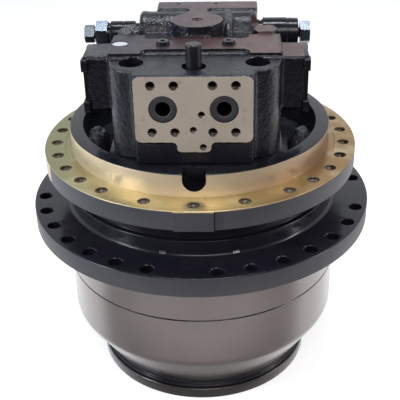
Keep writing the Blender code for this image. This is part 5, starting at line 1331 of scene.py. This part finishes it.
for word, side in SIDES:
    dust_plug(word, side)
print("dust plugs fitted")

# %% Drain plug, band plugs, boss plug, disc and ridge screws
drain_profile = [
    (0, 462.2),
    (9.5, 462.2),
    (9.5, 472.6),
    (9.5, 507.6),
    (9.2, 509.4, 1.2),
    (7.6, 510.1, 0.8),
    (0, 509.9),
]
drain_plug = turn("drain_plug_cap", drain_profile, plug_plastic, 96, DRAIN_SPOT)
fit(smooth(drain_plug, 40), "still_casing", "black_rubber", "drain_plug")

band_profile = [
    (0, 476.6),
    (6, 476.6, 0.6),
    (6, 488.0),
    (8.9, 488.0, 0.4),
    (8.9, 489.3, 0.4),
    (8.2, 489.6),
    (8.2, 493.4, 0.9),
    (0, 493.4),
]
for word, side in SIDES:
    spot = on_side(side, BAND_PLUG)
    plug = turn(f"band_plug_{word}_head", band_profile, smooth_paint, 64, (*spot, 0))
    combine(plug, plate("socket", ring_of_points(3.6, 6, spot), 489.9, 495))
    fit(smooth(plug), "still_casing", "black_paint", f"band_plug_{word}")

boss_plug = socket_screw("boss_plug_head", (0, 0), 6.2, 491.2, 502.3, 3.4, 6.5, milled_paint)
fit(smooth(boss_plug), "still_casing", "black_paint", "boss_plug")
disc_profile = [(0, 483.2), (10, 483.2), (10, 487.5, 0.6), (0, 488.1)]
disc = turn("blank_disc_face", disc_profile, polished_steel, 64, DISC_SPOT)
fit(smooth(disc, 40), "still_casing", "bare_steel", "blank_disc")
small_screws = [socket_screw("small", spot, 2.7, 497.2, 502.6, 1.4, 2.0, milled_paint) for spot in RIDGE_SCREWS]
fit(smooth(join("ridge_screws", small_screws)), "still_casing", "black_paint")
print("top plugs fitted")

# %% Casing bolts
for word, side in SIDES:
    for kind, place in (("", FRONT_BOLT), ("rear_", REAR_BOLT)):
        spot = on_side(side, place)
        low = SPIGOT_TOP - 30
        head = SPIGOT_TOP + 30.3
        profile = [(0, low), (7.6, low, 1.2), (7.6, head)]
        profile += [(12, head, 0.4), (12, head + 16, 1.4), (0, head + 16)]
        bolt = turn(f"bolt_{kind}{word}", profile, bare_steel, 64, (*spot, 0))
        combine(bolt, plate("socket", ring_of_points(7.6, 6, spot), head + 8, head + 20))
        fit(smooth(bolt), "still_casing", "bare_steel", f"casing_bolt_{kind}{word}")
print("casing bolts fitted")

# %% [markdown]
# ## Relief valves
# A relief valve cartridge screws into each end of the spool housing. Both are turned bars with a
# hexagon for the spanner and a lock nut at the end. Grooves and steps matter here, because each
# of them draws a bright ring on the black paint.

# %% Hexagons and threads
NUT_BORE = 7.3


def hexagon_nut(name, across, low, high, bore_end=None, first_corner=math.pi / 2):
    """A hexagon bar along X whose corners are turned off at both ends; bored as far as bore_end."""
    corner = across / math.sqrt(3)
    hexagon = ring_of_points(corner, 6, (HOUSING_Y, HOUSING_Z), first_corner)
    nut = plate(name, hexagon, low, high, dark_steel, "X")
    inner = corner * 0.9 - 0.6
    outer = corner + 0.4
    edge = 1.6 if high > low else -1.6
    cone = [
        (0, low - edge),
        (inner, low - edge),
        (outer, low + edge * 1.2),
        (outer, high - edge * 1.2),
        (inner, high + edge),
        (0, high + edge),
    ]
    combine(nut, turn("turned_off", cone, dark_steel, 64, HOUSING, "X"), "INTERSECT")
    if bore_end is not None:
        bore = pin_outline(NUT_BORE, low - edge, bore_end)
        combine(nut, turn("nut_bore", bore, dark_steel, 32, HOUSING, "X"))
    return nut


def stud_outline(low, high, radius=7.0, pitch=1.5):
    """The threaded end of a valve, with its threads as ridges."""
    outline = [(0, low), (radius, low)]
    level = low
    while level < high - pitch:
        outline += [(radius - 0.8, level + pitch * 0.5), (radius, level + pitch)]
        level += pitch
    return outline + [(radius - 0.6, high), (0, high)]


print("hexagon and thread helpers ready")

# %% Right relief valve
cartridge_nose = [(0, 56.3), (9, 56.3, 1), (9, 78.3)]
right_body = [
    *cartridge_nose,
    (17.6, 78.3, 0.6),
    (17.6, 80.6, 0.6),
    (16.4, 81.2),
    (16.4, 83.6),
    (17.4, 84.0),
    (17.4, 85.6),
    (19.8, 85.6, 1.2),
    (19.8, 117.6, 0.5),
    (18.9, 118.1),
    (18.9, 119.3),
    (19.4, 119.8, 0.4),
    (18.8, 131.0),
    (18.8, 132.5, 1.4),
    *stud_outline(132.4, 143.5)[1:],
]
relief_right = turn("relief_valve_right_body", right_body, smooth_paint, 96, HOUSING, "X")
fit(smooth(relief_right), "still_casing", "black_paint", "relief_valve_right")
print("right relief valve fitted")

# %% Left relief valve
left_body = [
    *cartridge_nose,
    (14, 78.3, 0.8),
    (14, 84.8),
    (16.9, 84.8, 1.2),
    (16.9, 100.0, 0.4),
    (16.1, 100.5),
    (16.1, 101.6),
    (16.9, 102.1, 0.4),
    (16.9, 117.6, 0.8),
    (14.6, 118.6),
    (14.6, 121.0),
    (15.6, 121.6, 0.5),
    (15.6, 123.0),
    (0, 123.0),
]


def to_left(outline):
    return [(radius, -x, *fillet) for radius, x, *fillet in outline]


relief_left = turn("relief_valve_left_body", to_left(left_body), smooth_paint, 96, HOUSING, "X")
left_tip = turn("left_tip", to_left(stud_outline(137.0, 148.6)), smooth_paint, 48, HOUSING, "X")
combine(relief_left, left_tip, "UNION")
combine(relief_left, hexagon_nut("left_hexagon", 31.4, -122.2, -137.6), "UNION")
fit(smooth(relief_left), "still_casing", "black_paint", "relief_valve_left")
print("left relief valve fitted")

# %% Lock nuts
cap_right = hexagon_nut("lock_nut_right", 27, 135.5, 148.5, 143.8)
fit(smooth(cap_right), "still_casing", "bare_steel", "relief_cap_right")
cap_left = hexagon_nut("lock_nut_left", 21, -140.6, -153.6, -148.9, 0)
fit(smooth(cap_left), "still_casing", "bare_steel", "relief_cap_left")
print("lock nuts fitted")

# %% [markdown]
# ## Covers of the counterbalance spool
# Each wing of the casing ends in a thick cover plate held by four screws. The plate follows the
# wing and has an ear at each corner. It is pressed and drilled steel, so bevels are enough.

# %% Spool covers
COVER_INNER = 133.8
EAR = 16


def spool_cover(word, side):
    """The cover plate of one wing, with its ears, sinks and screws."""
    inner = side * COVER_INNER
    outline = [(y, SPIGOT_TOP + z, 2.0) for y, z in [*WING_FOOT, (-26, 112), (-75.5, 112), (-79, 108.5)]]
    cover_plate = plate(f"spool_cover_{word}", outline, inner, side * 139.3, smooth_paint, "X")
    spots = []
    for bottom in (SPIGOT_TOP + 40, SPIGOT_TOP + 94):
        for front in (-83.5, -35):
            ear = box_outline(front, front + EAR, bottom, bottom + EAR, 3.0)
            combine(cover_plate, plate("ear", ear, inner, side * 141.2, smooth_paint, "X"), "UNION")
            spots.append((front + EAR / 2, bottom + EAR / 2))
    sink = pin_outline(5.2, side * 136.5, side * 143)
    sinks = [turn("sink", sink, smooth_paint, 32, (0, *spot), "X") for spot in spots]
    combine(cover_plate, join("screw_sinks", sinks))
    bevel = cover_plate.modifiers.new("Edges", "BEVEL")
    bevel.width = 0.7 * MM
    bevel.segments = 2
    bevel.limit_method = "ANGLE"
    bevel.angle_limit = math.radians(50)
    fit(smooth(cover_plate), "still_casing", "black_paint", f"spool_cap_{word}")
    heads = []
    for spot in spots:
        profile = [(0, side * 136.7), (4.6, side * 136.7), (4.6, side * 140.6, 0.6), (0, side * 140.6)]
        head = turn("head", profile, smooth_paint, 32, (0, *spot), "X")
        combine(head, plate("socket", ring_of_points(2.5, 6, spot), side * 138.4, side * 143, None, "X"))
        heads.append(head)
    fit(smooth(join(f"spool_cover_screws_{word}", heads)), "still_casing", "black_paint")


for word, side in SIDES:
    spool_cover(word, side)
print("spool covers fitted")

# %% [markdown]
# ## The gears, bearings and motor inside
# Nothing inside shows in the photograph, and the solids there already have their true form. They
# stay as they are and only get a finish: hardened steel for the gears, bright steel for the
# bearings and shafts, bronze for the sliding parts and rubber for the seals.

# %% Finishes for the solids that stay
inside_finishes = {
    "gear_steel": gear_steel,
    "bare_steel": bare_steel,
    "bronze": bearing_bronze,
    "black_rubber": seal_rubber,
}
dressed = 0
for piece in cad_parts.values():
    if piece.hide_render:
        continue
    for slot in piece.material_slots:
        key = slot.material.name.split(".")[0] if slot.material else "bare_steel"
        slot.material = inside_finishes.get(key, bare_steel)
    dressed += 1
print("solids that keep their form:", dressed)

# %% [markdown]
# ## Sizes and the end
# The dressed unit must stay the size of the solid model, so its box is measured.

# %% Measure the size
low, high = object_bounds()
